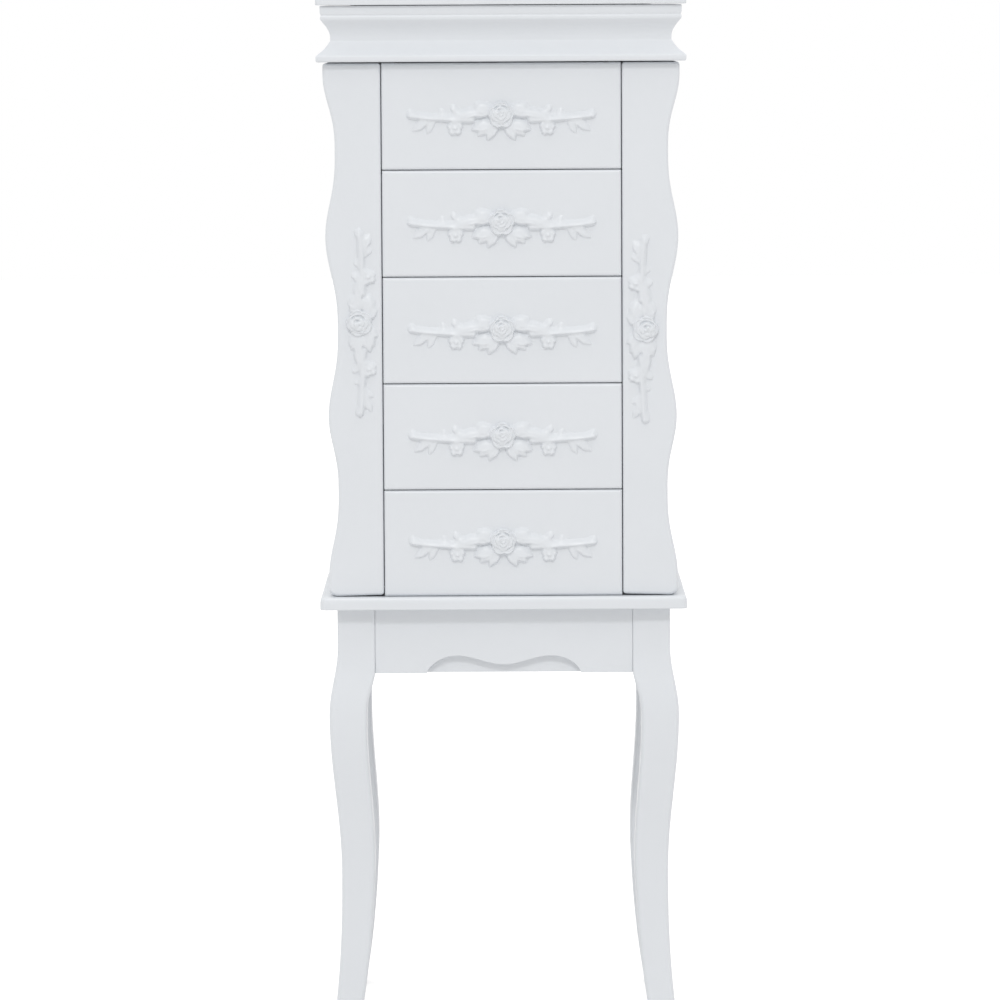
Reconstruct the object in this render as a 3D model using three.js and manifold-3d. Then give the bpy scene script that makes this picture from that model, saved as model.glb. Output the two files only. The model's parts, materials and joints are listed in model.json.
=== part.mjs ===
// Flip-top jewelry armoire on cabriole legs, in millimetres.
// +Z is up, the front faces -Y, and the origin is on the floor under the middle of the cabinet.
// Left and right are the viewer's, seen from the front, so left is -X.

import * as THREE from 'three';
import { mergeVertices } from 'three/addons/utils/BufferGeometryUtils.js';
import Module from 'manifold-3d';

// ---- Driving dimensions ------------------------------------------------------------------

// Plan of the whole cabinet
const HALF_WIDTH = 176; // base plate, crown lip and lid
const LIP_Y = -125; // foremost edge of the base plate, crown lip and lid
const REAR_Y = 119.5; // flush rear faces
const GLUE = 0.1; // glue line between boards that are fixed together
const SEAT = 0.3; // gap under a piece that is let in or laid on a turned face
const PAST = 5; // how far a cutting shape runs past the face it opens

// Heights
const STAND_HEIGHT = 401.5; // floor to the underside of the base plate
const PLATE_THICKNESS = 12;
const FRONT_HEIGHT = 101; // one drawer front
const FRONT_GAP = 1; // between drawer fronts
const FRONT_BOTTOM_GAP = 1; // above the base plate
const FRONT_TOP_GAP = 1.2; // under the crown
const DRAWER_COUNT = 5;
const CROWN_HEIGHT = 53.3;
const LID_GAP = 0.6; // between crown and lid; the hinge leaves are let in
const LID_THICKNESS = 19;

// Carcass
const FRONT_SETBACK = 10; // drawer and door faces behind the lip
const FRONT_THICKNESS = 12;
const DOOR_SPAN = 61.05; // door's inner edge behind the side of the lip
const DOOR_SIDE_GAP = 1; // drawer front to door front
const DOOR_PANEL_GAP = 1; // door's open side to the side panel
const SIDE_THICKNESS = 12;
const FRONT_STOP_GAP = 0.5; // back of a closed front to the panel edge that stops it
const BACK_THICKNESS = 6.5;
const BACK_SETBACK = 21; // sides of the back panel behind the sides of the lip
const TOP_BOARD_THICKNESS = 9;

// Drawers
const DRAWER_SIDE_CLEARANCE = 1.2;
const DRAWER_WALL = 9;
const DRAWER_BOTTOM = 4;
const DRAWER_BOX_DROP = 10; // box bottom above the lower edge of the front
const DRAWER_BOX_HEIGHT = 70;
const DRAWER_REAR_CLEARANCE = 18; // box back to the back panel
const RUNNER_HEIGHT = 10;
const RUNNER_DROP = 40; // runner's underside above the lower edge of the front
const RUNNER_WIDTH = 5;
const RUNNER_CLEARANCE = 0.8; // runner tip to the bottom of the groove
const RUNNER_RIDE = 0.3; // groove above the runner
const RUNNER_SETBACK = 6; // runner's front end behind the panel edge

// Doors
const DOOR_BACK_GAP = 1.5; // door's rear board to the back panel
const DOOR_BOARD = 12; // rear board
const DOOR_CROSS_BOARD = 10; // top and bottom boards
const DOOR_SKIN = 3; // bent plywood side
const DOOR_FOOT_CORNER = 7.5; // rounded lower corner of the serpentine edge
const DOOR_HEAD_CORNER = 3; // rounded upper corner
const DOOR_WAIST_BREADTH = 1.5; // above 1 the waists are longer than the swells
// Serpentine edge: share of the door height, and how far the edge lies behind the side of the lip
// there. Swells and waists alternate.
const SERPENTINE = [
  [0.036, 8.5],
  [0.196, 18.2],
  [0.338, 9.3],
  [0.5, 18.7],
  [0.676, 7.6],
  [0.836, 17.2],
  [0.978, 6.1],
];
const SERPENTINE_STEPS = 8; // facets from a swell to a waist

// Crown and top compartment
const CROWN_BOARD = 27; // lip to the inner face
const CROWN_BACK_BOARD = 12;
const CROWN_NECK = 13.7; // neck behind the lip
const CROWN_FILLET = 4.2; // top fillet behind the lip
const CROWN_FILLET_HEIGHT = 6.4;
const CROWN_LIP_FOOT = 2.4; // rounded lower arris of the lip
const CROWN_LIP_TOP = 4.8; // where the lip starts to round over into the flare
const CROWN_LIP_ROUND = 2;
const CROWN_FLARE_TOP = 20.4; // arris between flare and neck
const CROWN_COVE_FOOT = 24.5; // where the cove leaves the neck
const CROWN_COVE_TOP = 38.2;
const CROWN_BEAD = 4; // radius of the bead over the cove
const TRAY_DIVIDER = 5;
const TRAY_DIVIDER_HEIGHT = 30;
const TRAY_DIVIDER_X = -20; // face of the divider beside the ring rolls
const RING_ROLLS = 9;
const RING_ROLL_HEIGHT = 20;
const RING_GROOVE = 0.45; // bottom of a groove between rolls, as a share of their height
const CUSHION_CLEARANCE = 1;

// Lid and mirror
const LID_ROUND = 5; // rounded upper arris
const LID_EASE = 1.2; // eased lower arris
const MIRROR_THICKNESS = 3;
const MIRROR_FRAME_WIDTH = 18;
const MIRROR_FRAME_HEIGHT = 6.5;
const MIRROR_REBATE = 6; // frame laps over the glass edge
const MIRROR_MARGIN = 8; // frame to the walls of the compartment
const MIRROR_FIT = 0.3; // play round the glass

// Stand
const LEG_BLOCK = 36; // square block beside the aprons
const LEG_BLEND = 25; // the knee starts to swell above the aprons' lower edge
const LEG_BLOCK_SETBACK = 16; // outer face of the block behind the lip
const LEG_KNEE_SETBACK = 7.7;
const LEG_SHIN_SETBACK = 18.2;
const LEG_FLOOR_SETBACK = 10;
const LEG_KNEE_WIDTH = 36.3;
const LEG_SHIN_WIDTH = 32.2;
const LEG_FLOOR_WIDTH = 25.8;
const LEG_KNEE_Z = 299;
const LEG_SHIN_Z = 145;
const LEG_FLARE = 2.4; // how late the foot sweeps out
const LEG_ARRIS = 2.5; // chamfered edges
const LEG_RING_STEP = 16; // height of a facet ring
const APRON_HEIGHT = 60.5;
const APRON_THICKNESS = 15;
const APRON_SETBACK = 1.5; // behind the leg blocks
const SCALLOP_HALF_SPAN = 73;
const SCALLOP_PEAK_X = 45.5;
const SCALLOP_PEAK = 14;
const SCALLOP_DIP = 5.5;
const SCALLOP_DEPTH = 8;
const PLATE_NOSE = 2.6; // how far the rounded nose falls back at the top
const PLATE_NOSE_HEIGHT = 6;
const PLATE_EASE = 0.8; // eased lower arris

// Butt hinges
const LEAF_THICKNESS = 1.2;
const LEAF_GAP = 0.3; // between closed leaves
const KNUCKLE_GAP = 0.3;
const PIN_CLEARANCE = 0.1;
const HINGE_RECESS = 0.6; // relief round a knuckle
const DOOR_HINGE = { length: 50, width: 20, barrel: 3, pin: 1.4 };
const LID_HINGE = { length: 40, width: 13, barrel: 2.6, pin: 1.2 };
const DOOR_PIN_SETBACK = 16; // behind the side of the lip
const DOOR_HINGE_SHARES = [0.19, 0.83]; // heights of the hinges, as shares of the door
const LID_HINGE_SETBACK = 76; // middle of a hinge behind the side of the lip

// Necklace rail
const RAIL_LENGTH = 180;
const RAIL_WIDTH = 9;
const RAIL_THICKNESS = 2.5;
const HOOK_COUNT = 6;
const HOOK_DROP = 12;
const HOOK_REACH = 9;
const HOOK_LIP = 5;
const HOOK_WIRE = 2.2;

// Cast rose carving
const CARVING_HALF_LENGTH = 88;
const ROSE_RADIUS = 14;
const ROSE_HEIGHT = 9;
const ROSE_PETALS = 5;
const BLOSSOM_RADIUS = 7;
const BLOSSOM_HEIGHT = 6;
const DOOR_CARVING_SETBACK = 39; // middle of the carving behind the side of the lip
const DOOR_CARVING_LEFT_SHARE = 0.515; // height of the left carving, as a share of the door
const DOOR_CARVING_RIGHT_SHARE = 0.5;

// ---- Derived levels ----------------------------------------------------------------------

const plateTop = STAND_HEIGHT + PLATE_THICKNESS;
const frontsBottom = plateTop + FRONT_BOTTOM_GAP;
const frontPitch = FRONT_HEIGHT + FRONT_GAP;
const frontsTop = frontsBottom + DRAWER_COUNT * frontPitch - FRONT_GAP;
const crownBottom = frontsTop + FRONT_TOP_GAP;
const crownTop = crownBottom + CROWN_HEIGHT;
const lidBottom = crownTop + LID_GAP;
const frontY = LIP_Y + FRONT_SETBACK;
const frontBackY = frontY + FRONT_THICKNESS;
const backPanelY = REAR_Y - BACK_THICKNESS;
const doorInnerX = HALF_WIDTH - DOOR_SPAN;
const frontHalfWidth = doorInnerX - DOOR_SIDE_GAP;
const backHalfWidth = HALF_WIDTH - BACK_SETBACK;
const doorPinX = HALF_WIDTH - DOOR_PIN_SETBACK;
const lidHingeX = HALF_WIDTH - LID_HINGE_SETBACK;
const sideOuterX = doorInnerX - DOOR_PANEL_GAP;
const sideInnerX = sideOuterX - SIDE_THICKNESS;
const doorBackY = backPanelY - DOOR_BACK_GAP;
const doorHeight = frontsTop - frontsBottom;
const crownInnerX = HALF_WIDTH - CROWN_BOARD;
const crownInnerY = LIP_Y + CROWN_BOARD;
const crownBackY = REAR_Y - CROWN_BACK_BOARD;
const compartmentFloor = crownBottom + TOP_BOARD_THICKNESS;
const apronBottom = STAND_HEIGHT - APRON_HEIGHT;
const kneeTop = apronBottom + LEG_BLEND;

// ---- Solids ------------------------------------------------------------------------------

const wasm = await Module();
wasm.setup();

function toSolid(geometry) {
  const bare = geometry.clone();
  bare.deleteAttribute('normal');
  bare.deleteAttribute('uv');
  const merged = mergeVertices(bare, 1e-4);
  const vertProperties = new Float32Array(merged.getAttribute('position').array);
  const triVerts = new Uint32Array(merged.getIndex().array);
  return new wasm.Manifold(new wasm.Mesh({ numProp: 3, vertProperties, triVerts }));
}

function toGeometry(solid) {
  const mesh = solid.getMesh();
  const geometry = new THREE.BufferGeometry();
  geometry.setAttribute('position', new THREE.BufferAttribute(mesh.vertProperties, 3));
  geometry.setIndex(new THREE.BufferAttribute(mesh.triVerts, 1));
  geometry.computeVertexNormals();
  return geometry;
}

function join(geometries) {
  return toGeometry(geometries.map(toSolid).reduce((sum, next) => sum.add(next)));
}

function cut(geometry, tools) {
  const start = toSolid(geometry);
  return toGeometry(tools.map(toSolid).reduce((rest, tool) => rest.subtract(tool), start));
}

// A board between two corners.
function board(x0, x1, y0, y1, z0, z1) {
  const box = new THREE.BoxGeometry(x1 - x0, y1 - y0, z1 - z0);
  return box.translate((x0 + x1) / 2, (y0 + y1) / 2, (z0 + z1) / 2);
}

// A solid through rings of equal count, each a closed loop of Vector3. flatten gives the two
// coordinates in which the end rings are flat.
function loft(rings, flatten) {
  const count = rings[0].length;
  const index = [];
  for (let r = 0; r + 1 < rings.length; r += 1) {
    for (let i = 0; i < count; i += 1) {
      const a = r * count + i;
      const b = r * count + ((i + 1) % count);
      index.push(a, b, b + count, a, b + count, a + count);
    }
  }
  const capAt = (ring, base, turned) => {
    const outline = ring.map(flatten);
    for (const [a, b, c] of THREE.ShapeUtils.triangulateShape(outline, [])) {
      index.push(base + a, base + (turned ? c : b), base + (turned ? b : c));
    }
  };
  const clockwise = THREE.ShapeUtils.isClockWise(rings[0].map(flatten));
  capAt(rings[0], 0, !clockwise);
  capAt(rings[rings.length - 1], (rings.length - 1) * count, clockwise);
  const geometry = new THREE.BufferGeometry();
  geometry.setAttribute('position', new THREE.Float32BufferAttribute(
    rings.flat().flatMap((point) => point.toArray()), 3));
  geometry.setIndex(index);
  return outward(geometry);
}

function flipFaces(geometry) {
  const index = geometry.getIndex();
  for (let i = 0; i < index.count; i += 3) {
    const second = index.getX(i + 1);
    index.setX(i + 1, index.getX(i + 2));
    index.setX(i + 2, second);
  }
  return geometry;
}

// Turns the faces out where the enclosed volume comes out negative.
function outward(geometry) {
  const index = geometry.getIndex();
  const position = geometry.getAttribute('position');
  const at = (i) => new THREE.Vector3().fromBufferAttribute(position, index.getX(i));
  let volume = 0;
  for (let i = 0; i < index.count; i += 3) {
    volume += at(i).dot(at(i + 1).cross(at(i + 2)));
  }
  if (volume < 0) flipFaces(geometry);
  geometry.computeVertexNormals();
  return geometry;
}

// The same piece on the other side of the cabinet.
function mirrored(geometry) {
  const copy = mergeVertices(geometry.clone());
  copy.scale(-1, 1, 1);
  flipFaces(copy);
  copy.computeVertexNormals();
  return copy;
}

// A flat outline of [x, z] points, given thickness from y0 to y1.
function plank(points, y0, y1) {
  const ring = (y) => points.map(([x, z]) => new THREE.Vector3(x, y, z));
  return loft([ring(y0), ring(y1)], (v) => new THREE.Vector2(v.x, v.z));
}

// A rod along Z between two heights.
function rod(x, y, radius, z0, z1, sides) {
  const cylinder = new THREE.CylinderGeometry(radius, radius, z1 - z0, sides);
  return cylinder.rotateX(Math.PI / 2).translate(x, y, (z0 + z1) / 2);
}

const ease = (t) => (1 - Math.cos(Math.PI * THREE.MathUtils.clamp(t, 0, 1))) / 2;
const mix = (a, b, t) => a + (b - a) * t;

// Points on a quadratic curve through its control polygon.
function bend(start, middle, end, steps) {
  const curve = new THREE.QuadraticBezierCurve(
    new THREE.Vector2(...start), new THREE.Vector2(...middle), new THREE.Vector2(...end));
  return curve.getPoints(steps).map((point) => [point.x, point.y]);
}

// ---- Materials ---------------------------------------------------------------------------

const finish = (color, roughness, metalness) => () => new THREE.MeshStandardMaterial({
  color, roughness, metalness,
});
const whitePaint = finish(0xeeeef3, 0.38, 0);
const bareWood = finish(0xe6e3dc, 0.6, 0);
const brass = finish(0xc9a45c, 0.3, 1);
const silvered = finish(0xe8ecee, 0.02, 1);
const velvet = finish(0xd8d2c8, 0.95, 0);

const cabinet = new THREE.Group();

function add(name, geometry, material) {
  const mesh = new THREE.Mesh(geometry, material);
  mesh.name = name;
  cabinet.add(mesh);
  return mesh;
}

// Adds a piece modelled on the right, and its mirror image on the left.
function addPair(name, geometry, material) {
  add(`${name}_right`, geometry, material());
  add(`${name}_left`, mirrored(geometry), material());
}

// ---- Stand: base plate, cabriole legs and aprons -----------------------------------------

// A slab whose front and side edges follow [height, inset] steps; the rear edge is plain.
function mouldedSlab(steps) {
  const rings = steps.map(([z, inset]) => [
    new THREE.Vector3(-HALF_WIDTH + inset, LIP_Y + inset, z),
    new THREE.Vector3(HALF_WIDTH - inset, LIP_Y + inset, z),
    new THREE.Vector3(HALF_WIDTH - inset, REAR_Y, z),
    new THREE.Vector3(-HALF_WIDTH + inset, REAR_Y, z),
  ]);
  return loft(rings, (v) => new THREE.Vector2(v.x, v.y));
}

const plateNose = bend(
  [PLATE_THICKNESS - PLATE_NOSE_HEIGHT, 0], [PLATE_THICKNESS, 0], [PLATE_THICKNESS, PLATE_NOSE], 4);
add('base_plate', mouldedSlab([
  [STAND_HEIGHT, PLATE_EASE],
  [STAND_HEIGHT + PLATE_EASE, 0],
  ...plateNose.map(([z, inset]) => [STAND_HEIGHT + z, inset]),
]), whitePaint());

// How far the outer face of a leg lies behind the lip, and the width of a leg, by height.
function legSetback(z) {
  const overKnee = (z - LEG_KNEE_Z) / (kneeTop - LEG_KNEE_Z);
  const overShin = (z - LEG_SHIN_Z) / (LEG_KNEE_Z - LEG_SHIN_Z);
  if (overKnee >= 0) return mix(LEG_KNEE_SETBACK, LEG_BLOCK_SETBACK, ease(overKnee));
  if (overShin >= 0) return mix(LEG_SHIN_SETBACK, LEG_KNEE_SETBACK, ease(overShin));
  return mix(LEG_SHIN_SETBACK, LEG_FLOOR_SETBACK, (1 - z / LEG_SHIN_Z) ** LEG_FLARE);
}

// Above the aprons' lower edge the inner face stays flat against their ends.
function legWidth(z) {
  const flush = LEG_BLOCK_SETBACK + LEG_BLOCK - legSetback(Math.max(z, apronBottom));
  const overKnee = (z - LEG_KNEE_Z) / (apronBottom - LEG_KNEE_Z);
  const overShin = (z - LEG_SHIN_Z) / (LEG_KNEE_Z - LEG_SHIN_Z);
  if (overKnee >= 0) return mix(LEG_KNEE_WIDTH, flush, ease(overKnee));
  if (overShin >= 0) return mix(LEG_SHIN_WIDTH, LEG_KNEE_WIDTH, overShin);
  return mix(LEG_FLOOR_WIDTH, LEG_SHIN_WIDTH, z / LEG_SHIN_Z);
}

// The right front leg. It curves the same way outward and forward.
function frontLeg() {
  const top = STAND_HEIGHT - GLUE;
  const curved = Math.ceil(kneeTop / LEG_RING_STEP);
  const levels = Array.from({ length: curved + 1 }, (_, i) => (kneeTop * i) / curved);
  const rings = [...levels, top].map((z) => {
    const half = legWidth(z) / 2;
    const inset = legSetback(z) + half;
    const x = HALF_WIDTH - inset;
    const y = LIP_Y + inset;
    const flat = half - LEG_ARRIS;
    const corners = [[half, -flat], [half, flat], [flat, half], [-flat, half],
      [-half, flat], [-half, -flat], [-flat, -half], [flat, -half]];
    return corners.map(([dx, dy]) => new THREE.Vector3(x + dx, y + dy, z));
  });
  return loft(rings, (v) => new THREE.Vector2(v.x, v.y));
}

// The rear leg is the front leg turned about the middle of the base plate.
function rearLeg() {
  const leg = frontLeg();
  leg.scale(1, -1, 1);
  leg.translate(0, LIP_Y + REAR_Y, 0);
  return outward(leg);
}

addPair('leg_front', frontLeg(), whitePaint);
addPair('leg_rear', rearLeg(), whitePaint);

const blockOuterX = HALF_WIDTH - LEG_BLOCK_SETBACK;
const blockInnerX = blockOuterX - LEG_BLOCK;
const blockOuterY = LIP_Y + LEG_BLOCK_SETBACK; // front face of the front leg blocks
const blockInnerY = blockOuterY + LEG_BLOCK;
const rearBlockOuterY = REAR_Y - LEG_BLOCK_SETBACK;
const rearBlockInnerY = rearBlockOuterY - LEG_BLOCK;
const apronTop = STAND_HEIGHT - GLUE;

// Double-bump outline routed into the lower edge of the front apron.
function scallopOutline() {
  const steps = 7;
  const rise = Array.from({ length: steps + 1 }, (_, i) => [
    mix(SCALLOP_HALF_SPAN, SCALLOP_PEAK_X, i / steps),
    SCALLOP_PEAK * ease(i / steps),
  ]);
  const fall = Array.from({ length: steps }, (_, i) => [
    mix(SCALLOP_PEAK_X, 0, (i + 1) / steps),
    mix(SCALLOP_PEAK, SCALLOP_DIP, ease((i + 1) / steps)),
  ]);
  const half = [...rise, ...fall];
  const other = half.slice(0, -1).reverse().map(([x, z]) => [-x, z]);
  const outline = [...half, ...other].map(([x, z]) => [x, apronBottom + z]);
  const below = apronBottom - PAST;
  return [...outline, [-SCALLOP_HALF_SPAN, below], [SCALLOP_HALF_SPAN, below]];
}

const apronFrontY = blockOuterY + APRON_SETBACK;
const apronSideX = blockOuterX - APRON_SETBACK;
const longApron = (y) => board(
  -blockInnerX + GLUE, blockInnerX - GLUE, y, y + APRON_THICKNESS, apronBottom, apronTop);
const scallop = plank(scallopOutline(), apronFrontY - PAST, apronFrontY + SCALLOP_DEPTH);
add('apron_front', cut(longApron(apronFrontY), [scallop]), whitePaint());
add('apron_back', longApron(rearBlockOuterY - APRON_SETBACK - APRON_THICKNESS), whitePaint());
addPair('apron', board(
  apronSideX - APRON_THICKNESS, apronSideX, blockInnerY + GLUE, rearBlockInnerY - GLUE,
  apronBottom, apronTop), whitePaint);

// ---- Carcass: side panels with runners, back panel, top board ----------------------------

const frontBottomAt = (i) => frontsBottom + i * frontPitch;
const carcassBottom = plateTop + GLUE;
const carcassTop = crownBottom - GLUE;
const panelFrontY = frontBackY + FRONT_STOP_GAP;

function sidePanel() {
  const panel = board(sideInnerX, sideOuterX, panelFrontY, backPanelY - GLUE, carcassBottom, carcassTop);
  const runners = Array.from({ length: DRAWER_COUNT }, (_, i) => {
    const z = frontBottomAt(i) + RUNNER_DROP;
    return board(sideInnerX - RUNNER_WIDTH, sideInnerX + 1, panelFrontY + RUNNER_SETBACK,
      backPanelY - DRAWER_REAR_CLEARANCE, z, z + RUNNER_HEIGHT);
  });
  return join([panel, ...runners]);
}

addPair('side_panel', sidePanel(), whitePaint);

const pinY = backPanelY - DOOR_BACK_GAP / 2;
const doorHingeHeights = DOOR_HINGE_SHARES.map((share) => frontsBottom + share * doorHeight);

// Room for a leaf of a door hinge between two depths, at its height.
function doorMortise(z, y0, y1) {
  const half = DOOR_HINGE.length / 2 + SEAT;
  return board(doorPinX - DOOR_HINGE.width - SEAT, HALF_WIDTH + PAST, y0, y1, z - half, z + half);
}

const leafReach = LEAF_GAP / 2 + LEAF_THICKNESS; // from the pin's plane to a leaf's outer face

function backPanel() {
  const panel = board(-backHalfWidth, backHalfWidth, backPanelY, REAR_Y, carcassBottom, carcassTop);
  const right = doorHingeHeights.map((z) => doorMortise(z, backPanelY - PAST, pinY + leafReach + GLUE));
  return cut(panel, [...right, ...right.map(mirrored)]);
}

add('back_panel', backPanel(), whitePaint());
add('top_board', board(
  -crownInnerX + GLUE, crownInnerX - GLUE, crownInnerY + GLUE, crownBackY - GLUE,
  crownBottom, compartmentFloor), whitePaint());

// ---- Crown: mitred mouldings round the top compartment -----------------------------------

// Closed outline of the moulding: [distance behind the lip, height above the crown's foot].
function crownOutline() {
  const lipFoot = bend([CROWN_LIP_FOOT, 0], [0, 0], [0, CROWN_LIP_FOOT], 2);
  const lipTop = CROWN_LIP_TOP + CROWN_LIP_ROUND * 1.3;
  const flare = bend([CROWN_LIP_ROUND, lipTop],
    [CROWN_NECK * 0.7, mix(lipTop, CROWN_FLARE_TOP, 0.4)], [CROWN_NECK, CROWN_FLARE_TOP], 5);
  const cove = bend([CROWN_NECK, CROWN_COVE_FOOT],
    [CROWN_NECK * 0.96, mix(CROWN_COVE_FOOT, CROWN_COVE_TOP, 0.45)],
    [CROWN_FILLET * 1.5, CROWN_COVE_TOP], 5);
  const bead = Array.from({ length: 4 }, (_, i) => {
    const angle = mix(-0.3, 0.3, i / 3) * Math.PI;
    return [
      CROWN_FILLET * 1.05 + CROWN_BEAD * (1 - Math.cos(angle)),
      CROWN_COVE_TOP + CROWN_BEAD * (0.95 + Math.sin(angle)),
    ];
  });
  const arris = CROWN_FILLET * 0.2;
  return [
    ...lipFoot,
    [0, CROWN_LIP_TOP],
    [CROWN_LIP_ROUND * 0.3, mix(CROWN_LIP_TOP, lipTop, 0.6)],
    ...flare,
    ...cove,
    ...bead,
    [CROWN_FILLET, CROWN_HEIGHT - CROWN_FILLET_HEIGHT],
    [CROWN_FILLET, CROWN_HEIGHT - arris],
    [CROWN_FILLET + arris, CROWN_HEIGHT],
    [CROWN_BOARD, CROWN_HEIGHT],
    [CROWN_BOARD, 0],
  ];
}

const crownProfile = crownOutline();

function crownFront() {
  const end = (side) => crownProfile.map(([inset, z]) => new THREE.Vector3(
    side * (HALF_WIDTH - inset - GLUE), LIP_Y + inset, crownBottom + z));
  return loft([end(-1), end(1)], (v) => new THREE.Vector2(v.y, v.z));
}

function crownSide() {
  const front = crownProfile.map(([inset, z]) => new THREE.Vector3(
    HALF_WIDTH - inset, LIP_Y + inset + GLUE, crownBottom + z));
  const rear = crownProfile.map(([inset, z]) => new THREE.Vector3(
    HALF_WIDTH - inset, REAR_Y, crownBottom + z));
  return loft([front, rear], (v) => new THREE.Vector2(v.x, v.z));
}

add('crown_front', crownFront(), whitePaint());
addPair('crown', crownSide(), whitePaint);

const lidPinY = REAR_Y + LID_HINGE.barrel + SEAT;
const lidPinZ = crownTop + LID_GAP / 2;

// Room for a leaf of a lid hinge between two heights.
function lidMortise(x, z0, z1) {
  const half = LID_HINGE.length / 2 + SEAT;
  return board(x - half, x + half, lidPinY - LID_HINGE.width - SEAT, lidPinY + PAST, z0, z1);
}

add('crown_back', cut(
  board(-crownInnerX + GLUE, crownInnerX - GLUE, crownBackY, REAR_Y, crownBottom, crownTop),
  [-lidHingeX, lidHingeX].map((x) => lidMortise(x, lidPinZ - leafReach - GLUE, crownTop + PAST)),
), whitePaint());

// ---- Top compartment: ring rolls and divider ---------------------------------------------

function ringRolls() {
  const front = crownInnerY + CUSHION_CLEARANCE;
  const rear = crownBackY - CUSHION_CLEARANCE;
  const pitch = (rear - front) / RING_ROLLS;
  const base = compartmentFloor + GLUE;
  const top = Array.from({ length: RING_ROLLS * 6 }, (_, i) => {
    const roll = Math.floor(i / 6);
    const angle = mix(0.06, 0.94, (i % 6) / 5) * Math.PI;
    return [
      front + pitch * (roll + 0.5) - (pitch / 2) * Math.cos(angle),
      base + RING_ROLL_HEIGHT * mix(RING_GROOVE, 1, Math.sin(angle)),
    ];
  });
  const outline = [[front, base], ...top, [rear, base]];
  const end = (x) => outline.map(([y, z]) => new THREE.Vector3(x, y, z));
  return loft([
    end(-crownInnerX + CUSHION_CLEARANCE),
    end(TRAY_DIVIDER_X - CUSHION_CLEARANCE),
  ], (v) => new THREE.Vector2(v.y, v.z));
}

add('ring_cushion', ringRolls(), velvet());

function trayDivider() {
  const base = compartmentFloor + GLUE;
  const top = base + TRAY_DIVIDER_HEIGHT;
  const middleY = (crownInnerY + crownBackY) / 2;
  const long = board(TRAY_DIVIDER_X, TRAY_DIVIDER_X + TRAY_DIVIDER,
    crownInnerY + GLUE, crownBackY - GLUE, base, top);
  const cross = board(TRAY_DIVIDER_X + 1, crownInnerX - GLUE,
    middleY - TRAY_DIVIDER / 2, middleY + TRAY_DIVIDER / 2, base, top);
  return join([long, cross]);
}

add('tray_divider', trayDivider(), whitePaint());

// ---- Lid with its mirror -----------------------------------------------------------------

const lidRound = bend([LID_THICKNESS - LID_ROUND, 0], [LID_THICKNESS, 0], [LID_THICKNESS, LID_ROUND], 5);
add('lid_board', cut(
  mouldedSlab([
    [lidBottom, LID_EASE],
    [lidBottom + LID_EASE, 0],
    ...lidRound.map(([z, inset]) => [lidBottom + z, inset]),
  ]),
  [-lidHingeX, lidHingeX].map((x) => lidMortise(x, lidBottom - PAST, lidPinZ + leafReach + GLUE)),
), whitePaint());

const mirrorHalfX = crownInnerX - MIRROR_MARGIN;
const mirrorFrontY = crownInnerY + MIRROR_MARGIN;
const mirrorRearY = crownBackY - MIRROR_MARGIN;

// A board inside the mirror frame's outline, drawn in by inset.
function inMirrorFrame(inset, z0, z1) {
  return board(-mirrorHalfX + inset, mirrorHalfX - inset, mirrorFrontY + inset, mirrorRearY - inset, z0, z1);
}

const frameTop = lidBottom - GLUE;
const rebateInset = MIRROR_FRAME_WIDTH - MIRROR_REBATE;
const rebateFloor = frameTop - MIRROR_THICKNESS - MIRROR_FIT;
add('mirror_frame', cut(inMirrorFrame(0, frameTop - MIRROR_FRAME_HEIGHT, frameTop), [
  inMirrorFrame(MIRROR_FRAME_WIDTH, frameTop - MIRROR_FRAME_HEIGHT - PAST, frameTop + PAST),
  inMirrorFrame(rebateInset, rebateFloor, frameTop + PAST),
]), whitePaint());
add('mirror_glass', inMirrorFrame(
  rebateInset + MIRROR_FIT, rebateFloor + MIRROR_FIT / 2, frameTop - MIRROR_FIT / 2,
), silvered());

// ---- Butt hinges -------------------------------------------------------------------------

// Both leaves round a pin along Z. The leaves reach to -X; the fixed leaf is on the +Y side.
function buttHinge({ length, width, barrel, pin }) {
  const sides = 12;
  const half = length / 2;
  const knuckle = length / 3;
  const clear = barrel + 0.4;
  const leaf = (side, tongues) => {
    const y = [side * (LEAF_GAP / 2), side * leafReach].sort((a, b) => a - b);
    const plate = board(-width, -clear, y[0], y[1], -half, half);
    return [plate, ...tongues.flatMap(([z0, z1]) => [
      board(-clear - 1, 0, y[0], y[1], z0, z1),
      rod(0, 0, barrel, z0, z1, sides),
    ])];
  };
  const inner = knuckle / 2;
  const fixed = join([
    ...leaf(1, [[-half, -inner - KNUCKLE_GAP], [inner + KNUCKLE_GAP, half]]),
    rod(0, 0, pin, -half, half, sides),
  ]);
  const bore = rod(0, 0, pin + PIN_CLEARANCE, -half, half, sides);
  const moving = cut(join(leaf(-1, [[-inner, inner]])), [bore]);
  return { fixed, moving };
}

doorHingeHeights.forEach((z, i) => {
  const { fixed, moving } = buttHinge(DOOR_HINGE);
  const level = ['lower', 'upper'][i];
  fixed.translate(doorPinX, pinY, z);
  moving.translate(doorPinX, pinY, z);
  addPair(`door_hinge_${level}_fixed`, fixed, brass);
  addPair(`door_hinge_${level}_moving`, moving, brass);
});

function lidHinge(x) {
  const turn = new THREE.Matrix4().makeBasis(
    new THREE.Vector3(0, 1, 0), new THREE.Vector3(0, 0, -1), new THREE.Vector3(-1, 0, 0));
  const { fixed, moving } = buttHinge(LID_HINGE);
  return [fixed, moving].map((leaf) => leaf.applyMatrix4(turn).translate(x, lidPinY, lidPinZ));
}

const [lidHingeFixed, lidHingeMoving] = lidHinge(lidHingeX);
addPair('lid_hinge_fixed', lidHingeFixed, brass);
addPair('lid_hinge_moving', lidHingeMoving, brass);

// ---- Cast rose carving -------------------------------------------------------------------

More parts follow.
